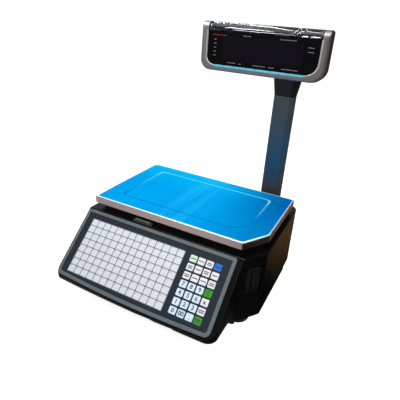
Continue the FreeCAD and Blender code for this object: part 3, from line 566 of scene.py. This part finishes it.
def join_rings(mesh, lower, upper):
    """Faces between two closed rings of vertices."""
    for i in range(len(lower)):
        j = (i + 1) % len(lower)
        mesh.faces.new((lower[i], lower[j], upper[j], upper[i]))


def add_plate(mesh, points, low, high, bevel):
    """A flat pad on a convex outline, with a bevelled top edge."""
    levels = ((points, low), (points, high - bevel), (shrunk(points, bevel), high))
    rings = [[mesh.verts.new((x, y, z)) for x, y in outline] for outline, z in levels]
    for lower, upper in zip(rings, rings[1:]):
        join_rings(mesh, lower, upper)
    mesh.faces.new(rings[-1])
    mesh.faces.new(rings[0][::-1])


def piece(name, mesh, place, material, body, slot=None, smooth_deg=30.0):
    """Turns a bmesh drawn in a face's own directions into a piece that rides on a body."""
    data = bpy.data.meshes.new(name)
    mesh.transform(place)
    mesh.normal_update()
    mesh.to_mesh(data)
    mesh.free()
    made = bpy.data.objects.new(name, data)
    bpy.context.scene.collection.objects.link(made)
    data.materials.append(material)
    data.shade_smooth()
    data.set_sharp_from_angle(angle=math.radians(smooth_deg))
    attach(made, body)
    return made


def add_text(mesh, text, height, centre, low, thickness, boldness=0.0):
    """Raised characters."""
    curve = bpy.data.curves.new("characters", "FONT")
    curve.body = text
    curve.size = height
    curve.align_x = "CENTER"
    curve.align_y = "CENTER"
    curve.extrude = thickness / 2
    curve.resolution_u = 4
    curve.offset = boldness
    holder = bpy.data.objects.new("characters", curve)
    data = bpy.data.meshes.new_from_object(holder)
    data.transform(Matrix.Translation((centre[0], centre[1], low + thickness / 2)))
    mesh.from_mesh(data)
    bpy.data.objects.remove(holder)
    bpy.data.curves.remove(curve)
    bpy.data.meshes.remove(data)


INK_RISE = 0.1 * MM
INK_BEVEL = 0.03 * MM


def add_mark(mesh, centre, size, corner, low):
    """A small printed bar."""
    outline = rounded_rectangle(centre, size, corner, 2)
    add_plate(mesh, outline, low, low + INK_RISE, INK_BEVEL)


# --- keyboard ---
CARD_FIELDS = (14, 8)
CARD_MARGIN = 0.6 * MM
FIELD_GAP = 1.5 * MM
FIELD_CORNER = 1.2 * MM
FIELD_SINK = 0.1 * MM
FIELD_RISE = 0.3 * MM
FIELD_BEVEL = 0.25 * MM
NUMBER_PLACE = (-0.3, 0.28)
NUMBER_HEIGHT = 2.9 * MM
NUMBER_LOW = 0.28 * MM
NUMBER_THICKNESS = 0.06 * MM
DIGIT_KEYS = {"key_" + digit: digit for digit in "0123456789"}
DIGIT_KEYS.update({"key_00": "00", "key_point": ".", "key_clear": "C", "key_times": "x"})
LEGEND_SINK = 0.02 * MM
DIGIT_HEIGHT = 11 * MM
DIGIT_BOLDNESS = 0.25 * MM
BAR_WIDTHS = (8.5, 11.0)
BAR_HEIGHT = 1.9 * MM
BAR_PITCH = 3.4 * MM
BAR_CORNER = 0.2 * MM
SURROUND_MARGIN = 2.4 * MM
SURROUND_GAP = 0.35 * MM
SURROUND_CORNER = 0.3 * MM
SURROUND_SINK = 0.02 * MM
SURROUND_RISE = 0.05 * MM


def card_fields():
    """The preset card's fields, each a soft pad with its number in the upper left corner."""
    across, upward = span("hotkey_card", RIGHT), span("hotkey_card", SLOPE_UP)
    top = span("hotkey_card", SLOPE_OUT)[1]
    columns, rows = CARD_FIELDS
    pitch_x = (across[1] - across[0] - 2 * CARD_MARGIN) / columns
    pitch_y = (upward[1] - upward[0] - 2 * CARD_MARGIN) / rows
    size = (pitch_x - FIELD_GAP, pitch_y - FIELD_GAP)
    pads, numbers = bmesh.new(), bmesh.new()
    for row in range(rows):
        for column in range(columns):
            x = across[0] + CARD_MARGIN + (column + 0.5) * pitch_x
            y = upward[1] - CARD_MARGIN - (row + 0.5) * pitch_y
            outline = rounded_rectangle((x, y), size, FIELD_CORNER, 3)
            add_plate(pads, outline, top - FIELD_SINK, top + FIELD_RISE, FIELD_BEVEL)
            corner = (x + pitch_x * NUMBER_PLACE[0], y + pitch_y * NUMBER_PLACE[1])
            add_text(numbers, str(row * columns + column + 1), NUMBER_HEIGHT, corner,
                     top + NUMBER_LOW, NUMBER_THICKNESS)
    white = paper_look("field_white", paint(216, 221, 226)).material
    piece("hotkey_fields", pads, CONSOLE, white, "root", "card_white")
    ink = ink_look("field_ink", paint(56, 58, 74)).material
    piece("hotkey_numbers", numbers, CONSOLE, ink, "root")


def key_legends():
    """Digits on the number keys, and plain bars on the function keys."""
    plain = ink_look("legend_grey", paint(84, 84, 96)).material
    navy = ink_look("legend_navy", paint(44, 58, 84)).material
    green = ink_look("legend_green", paint(20, 84, 18)).material
    blue = ink_look("legend_blue", paint(10, 48, 120)).material
    own_inks = {"key_f4": blue, "key_clear": green, "key_print": green}
    draws = random.Random(5)
    for name in sorted(n for n in NODES if n.startswith("key_")):
        x, y = middle(span(name, RIGHT)), middle(span(name, SLOPE_UP))
        top = span(name, SLOPE_OUT)[1] - LEGEND_SINK
        mesh = bmesh.new()
        if name in DIGIT_KEYS:
            add_text(mesh, DIGIT_KEYS[name], DIGIT_HEIGHT, (x, y), top, INK_RISE, DIGIT_BOLDNESS)
        else:
            rows = 2 if draws.random() < 0.5 or name == "key_print" else 1
            widths = [draws.uniform(*BAR_WIDTHS) * MM for _ in range(rows)]
            for row, width in enumerate(widths):
                centre = (x, y + ((rows - 1) / 2 - row) * BAR_PITCH)
                add_mark(mesh, centre, (width, BAR_HEIGHT), BAR_CORNER, top)
        ink = own_inks.get(name, navy if name in DIGIT_KEYS else plain)
        piece("legend_" + name, mesh, CONSOLE, ink, name)


def digit_surround():
    """Navy printed lines on the overlay between the number keys."""
    columns, rows = (sorted({tuple(round(edge, 4) for edge in span(name, direction))
                             for name in NODES if name in DIGIT_KEYS})
                     for direction in (RIGHT, SLOPE_UP))
    face = span("keypad_overlay", SLOPE_OUT)[1]
    mesh = bmesh.new()
    for ends, cross, upright in ((columns, rows, True), (rows, columns, False)):
        edges = [(ends[0][0] - SURROUND_MARGIN, ends[0][0] - SURROUND_GAP)]
        edges += [(left[1] + SURROUND_GAP, right[0] - SURROUND_GAP)
                  for left, right in zip(ends, ends[1:])]
        edges += [(ends[-1][1] + SURROUND_GAP, ends[-1][1] + SURROUND_MARGIN)]
        length = (cross[0][0] - SURROUND_MARGIN, cross[-1][1] + SURROUND_MARGIN)
        for edge in edges:
            (x0, x1), (y0, y1) = (edge, length) if upright else (length, edge)
            centre, size = ((x0 + x1) / 2, (y0 + y1) / 2), (x1 - x0, y1 - y0)
            outline = rounded_rectangle(centre, size, SURROUND_CORNER, 2)
            add_plate(mesh, outline, face - SURROUND_SINK, face + SURROUND_RISE, SURROUND_SINK)
    navy = ink_look("surround_navy", paint(16, 34, 74)).material
    piece("digit_surround", mesh, CONSOLE, navy, "root")


# --- platter film ---
FILM_SPOKES = 300
# Rings of the sheet: shares of the way to the raised middle's edge, then of the rest of the way
# to the platter's edge.
MIDDLE_SHARES = [i / 14 for i in range(1, 14)]
MIDDLE_SHARES += [0.968, 0.976, 0.985, 0.997, 1.003, 1.008, 1.02, 1.035]
BRIM_SHARES = [0.35, 0.6, 0.8, 0.93, 0.96, 1.0]
FOLD_SHARES = (0.972, 1.005)
CLIMB_START = 1.02
CLIMB_SHARE = 0.016
CURL_START = 0.985
CURL_HEIGHT = 0.12 * MM
FILM_LIFT = 0.06 * MM
FILM_WAVE = 0.05 * MM
FILM_OVERHANG = 1.4 * MM
FILM_DROP = 1.0 * MM
FILM_THICKNESS_SHARE = 0.6


def ray_reach(outline, centre, direction):
    """Distance from centre to a convex outline along a direction."""
    slack = 1e-6
    nearest = math.inf
    for i, point in enumerate(outline):
        a, b = Vector(point) - centre, Vector(outline[(i + 1) % len(outline)]) - centre
        edge = b - a
        cross = direction.x * edge.y - direction.y * edge.x
        if abs(cross) < TINY:
            continue
        reach = (a.x * edge.y - a.y * edge.x) / cross
        share = (a.x * direction.y - a.y * direction.x) / cross
        if reach > 0 and -slack <= share <= 1 + slack:
            nearest = min(nearest, reach)
    return nearest


def level_outline(node, height):
    """Convex outline of a node's points at one height."""
    tolerance = 0.02 * MM
    points = [v.co for v in NODES[node].data.vertices if abs(v.co.z - height) < tolerance]
    return hull([(p.x, p.y) for p in points])


def film_height(point, reach, inner, outer, rise):
    """Height of the film above the brim: up on the raised middle, wavy, and curled at its edge."""
    climb = min(max((inner * CLIMB_START - reach) / (inner * CLIMB_SHARE), 0), 1)
    climb = climb * climb * (3 - 2 * climb)
    wave = noise.noise(Vector((point.x * 22, point.y * 7, 3.1))) * FILM_WAVE
    curl = CURL_HEIGHT * max(0, (reach - outer * CURL_START) / (outer * (1 - CURL_START)))
    curl *= abs(noise.noise(Vector((point.x * 30, point.y * 30, 8.7))))
    return rise * climb + FILM_LIFT + abs(wave) + curl


def platter_film():
    """The peel-off film: a thin sheet with small waves that follows the platter's raised middle.
    Its float layers mark the pressed line round the middle, "fold", and the cut edge, "rim"."""
    steel_top = span("weighing_platter", UP)[1]
    brim_floor, film_top = span("protective_film", UP)
    rise = steel_top - brim_floor
    plateau = level_outline("weighing_platter", steel_top)
    brim = hull([(v.co.x, v.co.y) for v in NODES["protective_film"].data.vertices])
    low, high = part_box("weighing_platter")
    centre = Vector((low.x + high.x, low.y + high.y)) / 2
    mesh = bmesh.new()
    fold, rim = mesh.verts.layers.float.new("fold"), mesh.verts.layers.float.new("rim")
    hub = mesh.verts.new((*centre, steel_top + FILM_LIFT))
    rings = [[] for _ in MIDDLE_SHARES + BRIM_SHARES]
    hem = []
    for spoke in range(FILM_SPOKES):
        angle = 2 * math.pi * (spoke + 0.5) / FILM_SPOKES
        direction = Vector((math.cos(angle), math.sin(angle)))
        inner, outer = (ray_reach(outline, centre, direction) for outline in (plateau, brim))
        start = inner * MIDDLE_SHARES[-1]
        reaches = [inner * share for share in MIDDLE_SHARES]
        reaches += [start + (outer - start) * share for share in BRIM_SHARES]
        for ring, reach in zip(rings, reaches):
            point = centre + direction * reach
            z = brim_floor + film_height(point, reach, inner, outer, rise)
            ring.append(mesh.verts.new((point.x, point.y, z)))
            on_fold = FOLD_SHARES[0] * inner < reach < FOLD_SHARES[1] * inner
            ring[-1][fold] = 1.0 if on_fold else 0.0
        over = centre + direction * (outer + FILM_OVERHANG)
        hem.append(mesh.verts.new((over.x, over.y, brim_floor - FILM_DROP)))
        for ring in (rings[-2], rings[-1], hem):
            ring[-1][rim] = 1.0
    rings.append(hem)
    for i in range(FILM_SPOKES):
        j = (i + 1) % FILM_SPOKES
        mesh.faces.new((hub, rings[0][i], rings[0][j]))
    for inside, outside in zip(rings, rings[1:]):
        for i in range(FILM_SPOKES):
            j = (i + 1) % FILM_SPOKES
            mesh.faces.new((inside[i], outside[i], outside[j], inside[j]))
    film = LOOKS["blue_film"].material
    made = piece("platter_film", mesh, AS_DRAWN, film, "platter", "blue_film", 180)
    solid = made.modifiers.new("thickness", "SOLIDIFY")
    solid.thickness = (film_top - steel_top) * FILM_THICKNESS_SHARE
    solid.offset = 1.0
    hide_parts("protective_film")


# --- display head ---
# Printed marks on each window: share of its width, share of its height, and length in mm.
WINDOW_MARKS = [(0.075, 0.606 - 0.0935 * row, 6.5) for row in range(5)]
WINDOW_MARKS += [(0.367, 0.735, 18), (0.728, 0.731, 36), (0.922, 0.615, 14), (0.926, 0.518, 13),
                 (0.243, 0.089, 20), (0.325, 0.086, 7), (0.5, 0.088, 30), (0.613, 0.086, 13),
                 (0.77, 0.089, 36)]
ACCENT_MARKS = [(0.115, 0.712, 34)]
MARK_LIFT = 0.02 * MM
DASH_PITCH = 2.6 * MM
DASH_SHARE = 0.72
DASH_HEIGHT = 1.5 * MM
DASH_CORNER = 0.3 * MM
SCREEN_WIDTH_SHARES = (0.145, 0.86)
SCREEN_HEIGHT_SHARES = (0.14, 0.7)
SCREEN_CORNER = 1.5 * MM
SCREEN_RISE = 0.05 * MM
PATH_POINTS = 300
TRIM_STOP = 17 * MM
TRIM_THIN_SHARE = 0.12
TRIM_WIDENS = (0.26, 0.08)
STRIP_STOP = 3.2 * MM
STRIP_WIDTH = 4.0 * MM
STRIP_FADE = 0.07
STRIP_END_SHARE = 0.03


def window_outline():
    """The windows' convex outline in X and Z."""
    return hull([(v.co.x, v.co.z) for v in NODES["display_windows"].data.vertices])


def resampled(points, count):
    """The closed outline as evenly spaced points."""
    closed = [Vector(p) for p in points] + [Vector(points[0])]
    lengths = [(b - a).length for a, b in zip(closed, closed[1:])]
    step = sum(lengths) / count
    result, i, walked = [], 0, 0.0
    for n in range(count):
        target = n * step
        while walked + lengths[i] < target:
            walked += lengths[i]
            i += 1
        share = (target - walked) / lengths[i]
        result.append(closed[i].lerp(closed[i + 1], share))
    return result


def open_path(side, limit):
    """The window's outline below a height, from its upper left end round to its upper right end."""
    points = resampled([(side * x, z) for x, z in window_outline()][::side], PATH_POINTS)
    start = next(i for i, point in enumerate(points) if point.y < limit <= points[i - 1].y)
    return [point for point in points[start:] + points[:start] if point.y < limit]


def sweep(path, profile, face, shell_face):
    """A solid strip along an open path, with a section of (outwards, depth) points for each share
    of the way."""
    mesh = bmesh.new()
    last = len(path) - 1
    rows = []
    for i, point in enumerate(path):
        along = (path[min(i + 1, last)] - path[max(i - 1, 0)]).normalized()
        outward = Vector((along.y, -along.x))
        section = profile(i / last, face, shell_face)
        places = [(point + outward * out, depth) for out, depth in section]
        rows.append([mesh.verts.new((place.x, place.y, depth)) for place, depth in places])
    for row, following in zip(rows, rows[1:]):
        for j in range(len(row)):
            k = (j + 1) % len(row)
            mesh.faces.new((row[j], following[j], following[k], row[k]))
    mesh.faces.new(rows[0])
    mesh.faces.new(rows[-1])
    bmesh.ops.recalc_face_normals(mesh, faces=mesh.faces)
    return mesh


def trim_profile(share, face, shell_face):
    """The light chamfer round the window: wide up both sides, a thin line below the glass."""
    start, length = TRIM_WIDENS
    widening = min(max((abs(share - 0.5) - start) / length, 0.0), 1.0)
    width = TRIM_THIN_SHARE + (1 - TRIM_THIN_SHARE) * widening
    return [(-0.8 * MM, face), (-0.8 * MM, face + 0.12 * MM), (0.1 * MM, shell_face + 0.15 * MM),
            (1.2 * MM * width, shell_face + 0.42 * MM * width),
            (2.6 * MM * width, shell_face + 0.4 * MM * width),
            (3.6 * MM * width, shell_face - 0.05 * MM), (0.05 * MM, face)]


def strip_profile(share, face, shell_face):
    """The strip below the window, coloured aqua as a painted reflection along the lower bevel: a
    low rounded band that thins out at its ends.
    """
    fade = max(min(1.0, min(share, 1 - share) / STRIP_FADE), STRIP_END_SHARE)
    points = ((-1.0 * MM, face + 0.02 * MM), (-0.7 * MM, shell_face + 0.3 * MM),
              (STRIP_WIDTH * 0.2, shell_face + 0.75 * MM),
              (STRIP_WIDTH * 0.75, shell_face + 0.7 * MM), (STRIP_WIDTH, shell_face + 0.2 * MM))
    return [(out * fade, depth) for out, depth in points]


def add_dashes(mesh, centre, width, low):
    """A row of short dashes that stands for a printed word."""
    count = max(1, round(width / DASH_PITCH))
    pitch = width / count
    for i in range(count):
        x = centre[0] + (i - (count - 1) / 2) * pitch
        add_mark(mesh, (x, centre[1]), (pitch * DASH_SHARE, DASH_HEIGHT), DASH_CORNER, low)


def display_details():
    """What shows on and around both windows: screen, printed marks, trim and strip."""
    outline = window_outline()
    left, right = min(x for x, z in outline), max(x for x, z in outline)
    low, high = min(z for x, z in outline), max(z for x, z in outline)
    width, height = right - left, high - low
    screen_size = (width * (SCREEN_WIDTH_SHARES[1] - SCREEN_WIDTH_SHARES[0]),
                   height * (SCREEN_HEIGHT_SHARES[1] - SCREEN_HEIGHT_SHARES[0]))
    screen, strip = screen_look(), aqua_reflection_look()
    printed = (("display_marks_", WINDOW_MARKS, ink_look("display_ink", paint(118, 120, 124))),
               ("display_accent_", ACCENT_MARKS, ink_look("display_red", paint(150, 30, 24))))

    def details(tag, side, place, facing, shell, trim):
        start = left if side > 0 else -right
        face, shell_face = span("display_windows", facing)[1], span(shell, facing)[1]

        def spot(across, upward):
            return start + width * across, low + height * upward

        def add(name, mesh, look, **settings):
            piece(name + tag, mesh, place, look.material, "display_head", **settings)

        centre = spot(middle(SCREEN_WIDTH_SHARES), middle(SCREEN_HEIGHT_SHARES))
        mesh = bmesh.new()
        add_plate(mesh, rounded_rectangle(centre, screen_size, SCREEN_CORNER),
                  face - SCREEN_RISE, face + SCREEN_RISE, INK_BEVEL)
        add("display_screen_", mesh, screen, slot="smoked_window")
        for name, marks, ink in printed:
            mesh = bmesh.new()
            for across, upward, length in marks:
                add_dashes(mesh, spot(across, upward), length * MM, face + MARK_LIFT)
            add(name, mesh, ink)
        for name, top, profile, look in (("window_trim_", high - TRIM_STOP, trim_profile, trim),
                                         ("window_strip_", low + STRIP_STOP, strip_profile, strip)):
            add(name, sweep(open_path(side, top), profile, face, shell_face), look, smooth_deg=45)

    details("front", 1, HEAD_FRONT, -BACK, "display_front_frame", LOOKS["trim_silver"])
    details("back", -1, HEAD_BACK, BACK, "display_rear_shell", LOOKS["shell_black"])


# --- peel-off wrap on the display's brow ---
# Creases of the wrap as places on the brow (share across, share of its turn), with a thickness
# in millimetres.
CREASES = (
    (((0.15, 0.15), (0.2, 0.22), (0.42, 0.2), (0.6, 0.18)), 0.5),
    (((0.22, 0.02), (0.3, 0.06), (0.45, 0.03), (0.62, 0.05), (0.78, 0.02)), 0.28),
    (((0.36, 0.78), (0.44, 0.62), (0.55, 0.6), (0.75, 0.42)), 0.75),
    (((0.42, 0.86), (0.5, 0.8), (0.58, 0.82)), 0.4),
    (((0.76, 0.1), (0.785, 0.45), (0.8, 0.95), (0.815, 0.6), (0.83, 0.35), (0.85, 0.5)), 0.6),
    (((0.79, 0.05), (0.81, 0.35), (0.825, 0.1)), 0.45),
    (((0.84, 0.9), (0.86, 0.62), (0.87, 0.35)), 0.5),
    (((0.86, 0.5), (0.92, 0.42), (0.985, 0.4)), 0.3),
    (((0.83, -0.02), (0.865, 0.03), (0.885, 0.0)), 0.8),
    (((0.9, -0.04), (0.915, 0.03), (0.95, 0.03), (0.985, 0.01)), 0.7),
    (((0.984, 0.05), (0.988, 0.5), (0.992, 0.95)), 0.7),
    (((0.03, 0.2), (0.022, 0.35), (0.03, 0.5)), 0.5),
)
LOOSE_CREASES = 70
LOOSE_SEED = 20
CREASE_SIDES = 5
CREASE_STEPS = 14
CREASE_LIFT = 0.5 * MM
CREASE_THINNEST_MM = 0.06
WRAP_COLUMNS = 260
WRAP_ROWS = 22
WRAP_LIFT = 0.3 * MM
WRAP_FOLD = 0.55 * MM
# Start and extent of the sheet on the brow.
WRAP_ACROSS = (0.006, 0.986)
WRAP_TURNED = (-0.08, 1.12)


class Brow:
    """The rounded upper front edge of the front window."""

    def __init__(self):
        points = [vertex.co for vertex in NODES["display_windows"].data.vertices]
        self.front = min(p.y for p in points)
        self.top = max(p.z for p in points)
        self.left, self.right = min(p.x for p in points), max(p.x for p in points)
        flat_top = max(p.z for p in points if p.y < self.front + 0.01 * MM)
        self.radius = self.top - flat_top

    def point(self, across, turned, off):
        """A place by share of the width, share of the quarter turn, and height off the glass."""
        x = self.left + (self.right - self.left) * across
        y, z = self.front + self.radius, self.top - self.radius
        quarter = self.radius * math.pi / 2
        if turned < 0:
            return Vector((x, self.front - off, z + turned * quarter))
        if turned > 1:
            return Vector((x, y + (turned - 1) * quarter, self.top + off))
        reach, angle = self.radius + off, turned * math.pi / 2
        return Vector((x, y - reach * math.cos(angle), z + reach * math.sin(angle)))


def add_crease(mesh, brow, points, thickness, seed):
    """A raised fold of film along the brow, tapered to its ends."""
    legs = len(points) - 1
    steps = CREASE_STEPS * legs
    rings = []
    for i in range(steps + 1):
        at = i / steps * legs
        j = min(int(at), legs - 1)
        a, b, share = points[j], points[j + 1], at - j
        shake = noise.noise(Vector((i * 0.35, seed * 7.7, 0.5)))
        across = a[0] + (b[0] - a[0]) * share + shake * 0.002
        turned = a[1] + (b[1] - a[1]) * share + shake * 0.03
        swell = math.sin(math.pi * i / steps) ** 0.5
        swell *= 0.75 + 0.5 * noise.noise(Vector((i * 0.8, seed * 3.1, 9.0)))
        radius = max(thickness * swell, CREASE_THINNEST_MM) * MM
        ring = []
        for k in range(CREASE_SIDES):
            angle = 2 * math.pi * k / CREASE_SIDES
            off = CREASE_LIFT + radius * (1 + math.cos(angle)) * 0.6
            sideways = math.sin(angle) * radius / brow.radius
            ring.append(mesh.verts.new(brow.point(across, turned + sideways, off)))
        rings.append(ring)
    for lower, upper in zip(rings, rings[1:]):
        join_rings(mesh, lower, upper)
    mesh.faces.new(rings[0][::-1])
    mesh.faces.new(rings[-1])


def wrap_sheet(brow):
    """The wrinkled sheet, with an uneven lower edge."""
    mesh = bmesh.new()
    grid = []
    for row in range(WRAP_ROWS + 1):
        share = row / WRAP_ROWS
        line = []
        for column in range(WRAP_COLUMNS + 1):
            across = column / WRAP_COLUMNS
            uneven = noise.noise(Vector((across * 30, 1.7, 0.3))) * 0.12
            turned = WRAP_TURNED[0] + uneven * (1 - share) + WRAP_TURNED[1] * share
            fold = 1 - abs(noise.noise(Vector((across * 26, turned * 3.2, 4.4)))) * 2.6
            off = WRAP_LIFT + max(fold, 0) ** 3 * WRAP_FOLD
            place = brow.point(WRAP_ACROSS[0] + across * WRAP_ACROSS[1], turned, off)
            line.append(mesh.verts.new(place))
        grid.append(line)
    for lower, upper in zip(grid, grid[1:]):
        for corners in zip(lower, lower[1:], upper[1:], upper):
            mesh.faces.new(corners)
    return mesh


def display_wrap():
    """Clear film left on the head's upper edge: a wrinkled sheet with creases painted as bright,
    glowing highlights.
    """
    brow = Brow()
    piece("display_wrap", wrap_sheet(brow), AS_DRAWN, wrap_look().material, "display_head",
          smooth_deg=180)
    mesh = bmesh.new()
    for seed, (points, thickness) in enumerate(CREASES):
        add_crease(mesh, brow, points, thickness, seed)
    draws = random.Random(11)
    for seed in range(LOOSE_CREASES):
        across, turned = draws.uniform(0.03, 0.42), draws.uniform(0.72, 1.0)
        tip = (across + draws.uniform(0.006, 0.02), turned - draws.uniform(0.0, 0.3))
        thickness = draws.uniform(0.4, 1.0)
        add_crease(mesh, brow, ((across, turned), tip), thickness, LOOSE_SEED + seed)
    bmesh.ops.recalc_face_normals(mesh, faces=mesh.faces)
    piece("display_wrap_creases", mesh, AS_DRAWN, crease_highlight_look().material, "display_head",
          smooth_deg=60)


# --- stage ---
CAMERA_TURN_DEG = 25.6
CAMERA_DIP_DEG = 22.28
CAMERA_ROLL_DEG = 4.22
CAMERA_FROM_PLATTER = (0.3394, -0.7012)
CAMERA_HEIGHT = 0.5552
SENSOR_MM = 36
LENS_MM = 34.71
LENS_SHIFT = (-0.0021, -0.0649)
FLOOR_RADIUS = 60.0
FLOOR_GLOW = 0.8
STUDIO_LEVEL = 0.46
# Name, place, point it is aimed at, size and power.
LIGHTS = (
    ("key", (1.0, -1.0, 1.5), (0, 0, 0.15), (1.2, 1.0), 14),
    ("top", (-0.3, 0.3, 1.9), (0, 0, 0.2), (1.6, 1.2), 2.5),
    ("brow", (-0.1, 0.0, 0.94), (0.05, 0.17, 0.55), (0.62, 0.4), 4.2),
)


def add_to_scene(name, data):
    made = bpy.data.objects.new(name, data)
    bpy.context.scene.collection.objects.link(made)
    return made


def add_camera():
    """Camera to the front right of the scale, looking down on it."""
    azimuth, elevation, roll = (math.radians(angle) for angle in (
        CAMERA_TURN_DEG, CAMERA_DIP_DEG, CAMERA_ROLL_DEG))
    back = Vector((math.sin(azimuth) * math.cos(elevation),
                   -math.cos(azimuth) * math.cos(elevation), math.sin(elevation)))
    right = (-back).cross(UP).normalized()
    upward = back.cross(right)
    turned_right = right * math.cos(roll) + upward * math.sin(roll)
    turned_up = upward * math.cos(roll) - right * math.sin(roll)
    data = bpy.data.cameras.new("camera")
    data.sensor_width = SENSOR_MM
    data.lens = LENS_MM
    data.shift_x, data.shift_y = LENS_SHIFT
    camera = add_to_scene("camera", data)
    low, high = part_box("weighing_platter")
    place = Vector(((low.x + high.x) / 2 + CAMERA_FROM_PLATTER[0],
                    (low.y + high.y) / 2 + CAMERA_FROM_PLATTER[1], CAMERA_HEIGHT))
    camera.matrix_world = Matrix.Translation(place) @ basis(turned_right, turned_up, back)
    bpy.context.scene.camera = camera


def floor_look():
    """Pale to the camera, with a soft shadow. Glossy surfaces mirror it as pale on the left, and
    on the right as black in front and brown at the rear. It is clear from below."""
    look = Look("floor")
    rays = look.node("LightPath").outputs
    pale = look.mix(look.noise(8, 2), paint(243, 243, 243), paint(246, 246, 246))
    rear = look.mix(look.ramp(look.axis("Y"), 0.05, 0.3), paint(5, 4, 4), paint(128, 98, 66))
    around = look.mix(look.ramp(look.axis("X"), 0.02, 0.2), paint(196, 184, 182), rear)
    look.set(Base_Color=look.mix(rays["Is Glossy Ray"], pale, around), Roughness=0.9,
             Specular_IOR_Level=0.0, Emission_Color=WHITE,
             Emission_Strength=look.times(rays["Is Camera Ray"], FLOOR_GLOW))
    from_below = look.node("NewGeometry").outputs["Backfacing"]
    clear = look.node("BsdfTransparent").outputs[0]
    look.show(look.mix_shaders(from_below, look.shader.outputs[0], clear))
    return look


def add_floor():
    mesh = bmesh.new()
    bmesh.ops.create_circle(mesh, cap_ends=True, segments=64, radius=FLOOR_RADIUS)
    data = bpy.data.meshes.new("floor")
    mesh.to_mesh(data)
    mesh.free()
    data.materials.append(floor_look().material)
    add_to_scene("floor", data)


def add_light(name, place, aim, size, power):
    data = bpy.data.lights.new(name, "AREA")
    data.shape = "RECTANGLE"
    data.size, data.size_y = size
    data.energy = power
    turned = (Vector(aim) - Vector(place)).to_track_quat("-Z", "Y").to_matrix().to_4x4()
    add_to_scene(name, data).matrix_world = Matrix.Translation(place) @ turned


def add_world():
    """White to the camera and an even light; glossy surfaces mirror a studio that is brighter on
    the left and near the horizon."""
    world = bpy.data.worlds.new("studio")
    bpy.context.scene.world = world
    world.use_nodes = True
    world.node_tree.nodes.clear()
    sky = Nodes(world.node_tree)
    direction = sky.node("TexCoord").outputs["Generated"]
    parts = sky.node("SeparateXYZ", {0: direction}).outputs
    side = sky.ramp(parts["X"], -0.6, 0.2, 0.85, 0.07, smooth=True)
    height = sky.ramp(parts["Z"], 0.3, 0.62, 1.15, 0.3, smooth=True)
    rays = sky.node("LightPath").outputs
    lit, mirrored, seen = (sky.node("Background", inputs).outputs[0] for inputs in (
        {"Color": WHITE, "Strength": STUDIO_LEVEL},
        {"Strength": sky.times(side, height)},
        {"Color": WHITE, "Strength": 1.0}))
    unseen = sky.mix_shaders(rays["Is Glossy Ray"], lit, mirrored)
    surface = sky.mix_shaders(rays["Is Camera Ray"], unseen, seen)
    sky.node("OutputWorld", {"Surface": surface})


def add_stage():
    add_floor()
    add_world()
    add_camera()
    for light in LIGHTS:
        add_light(*light)
    bpy.context.scene.view_settings.view_transform = "Standard"


dress_cad_nodes()
card_fields()
key_legends()
digit_surround()
platter_film()
display_details()
display_wrap()
add_stage()
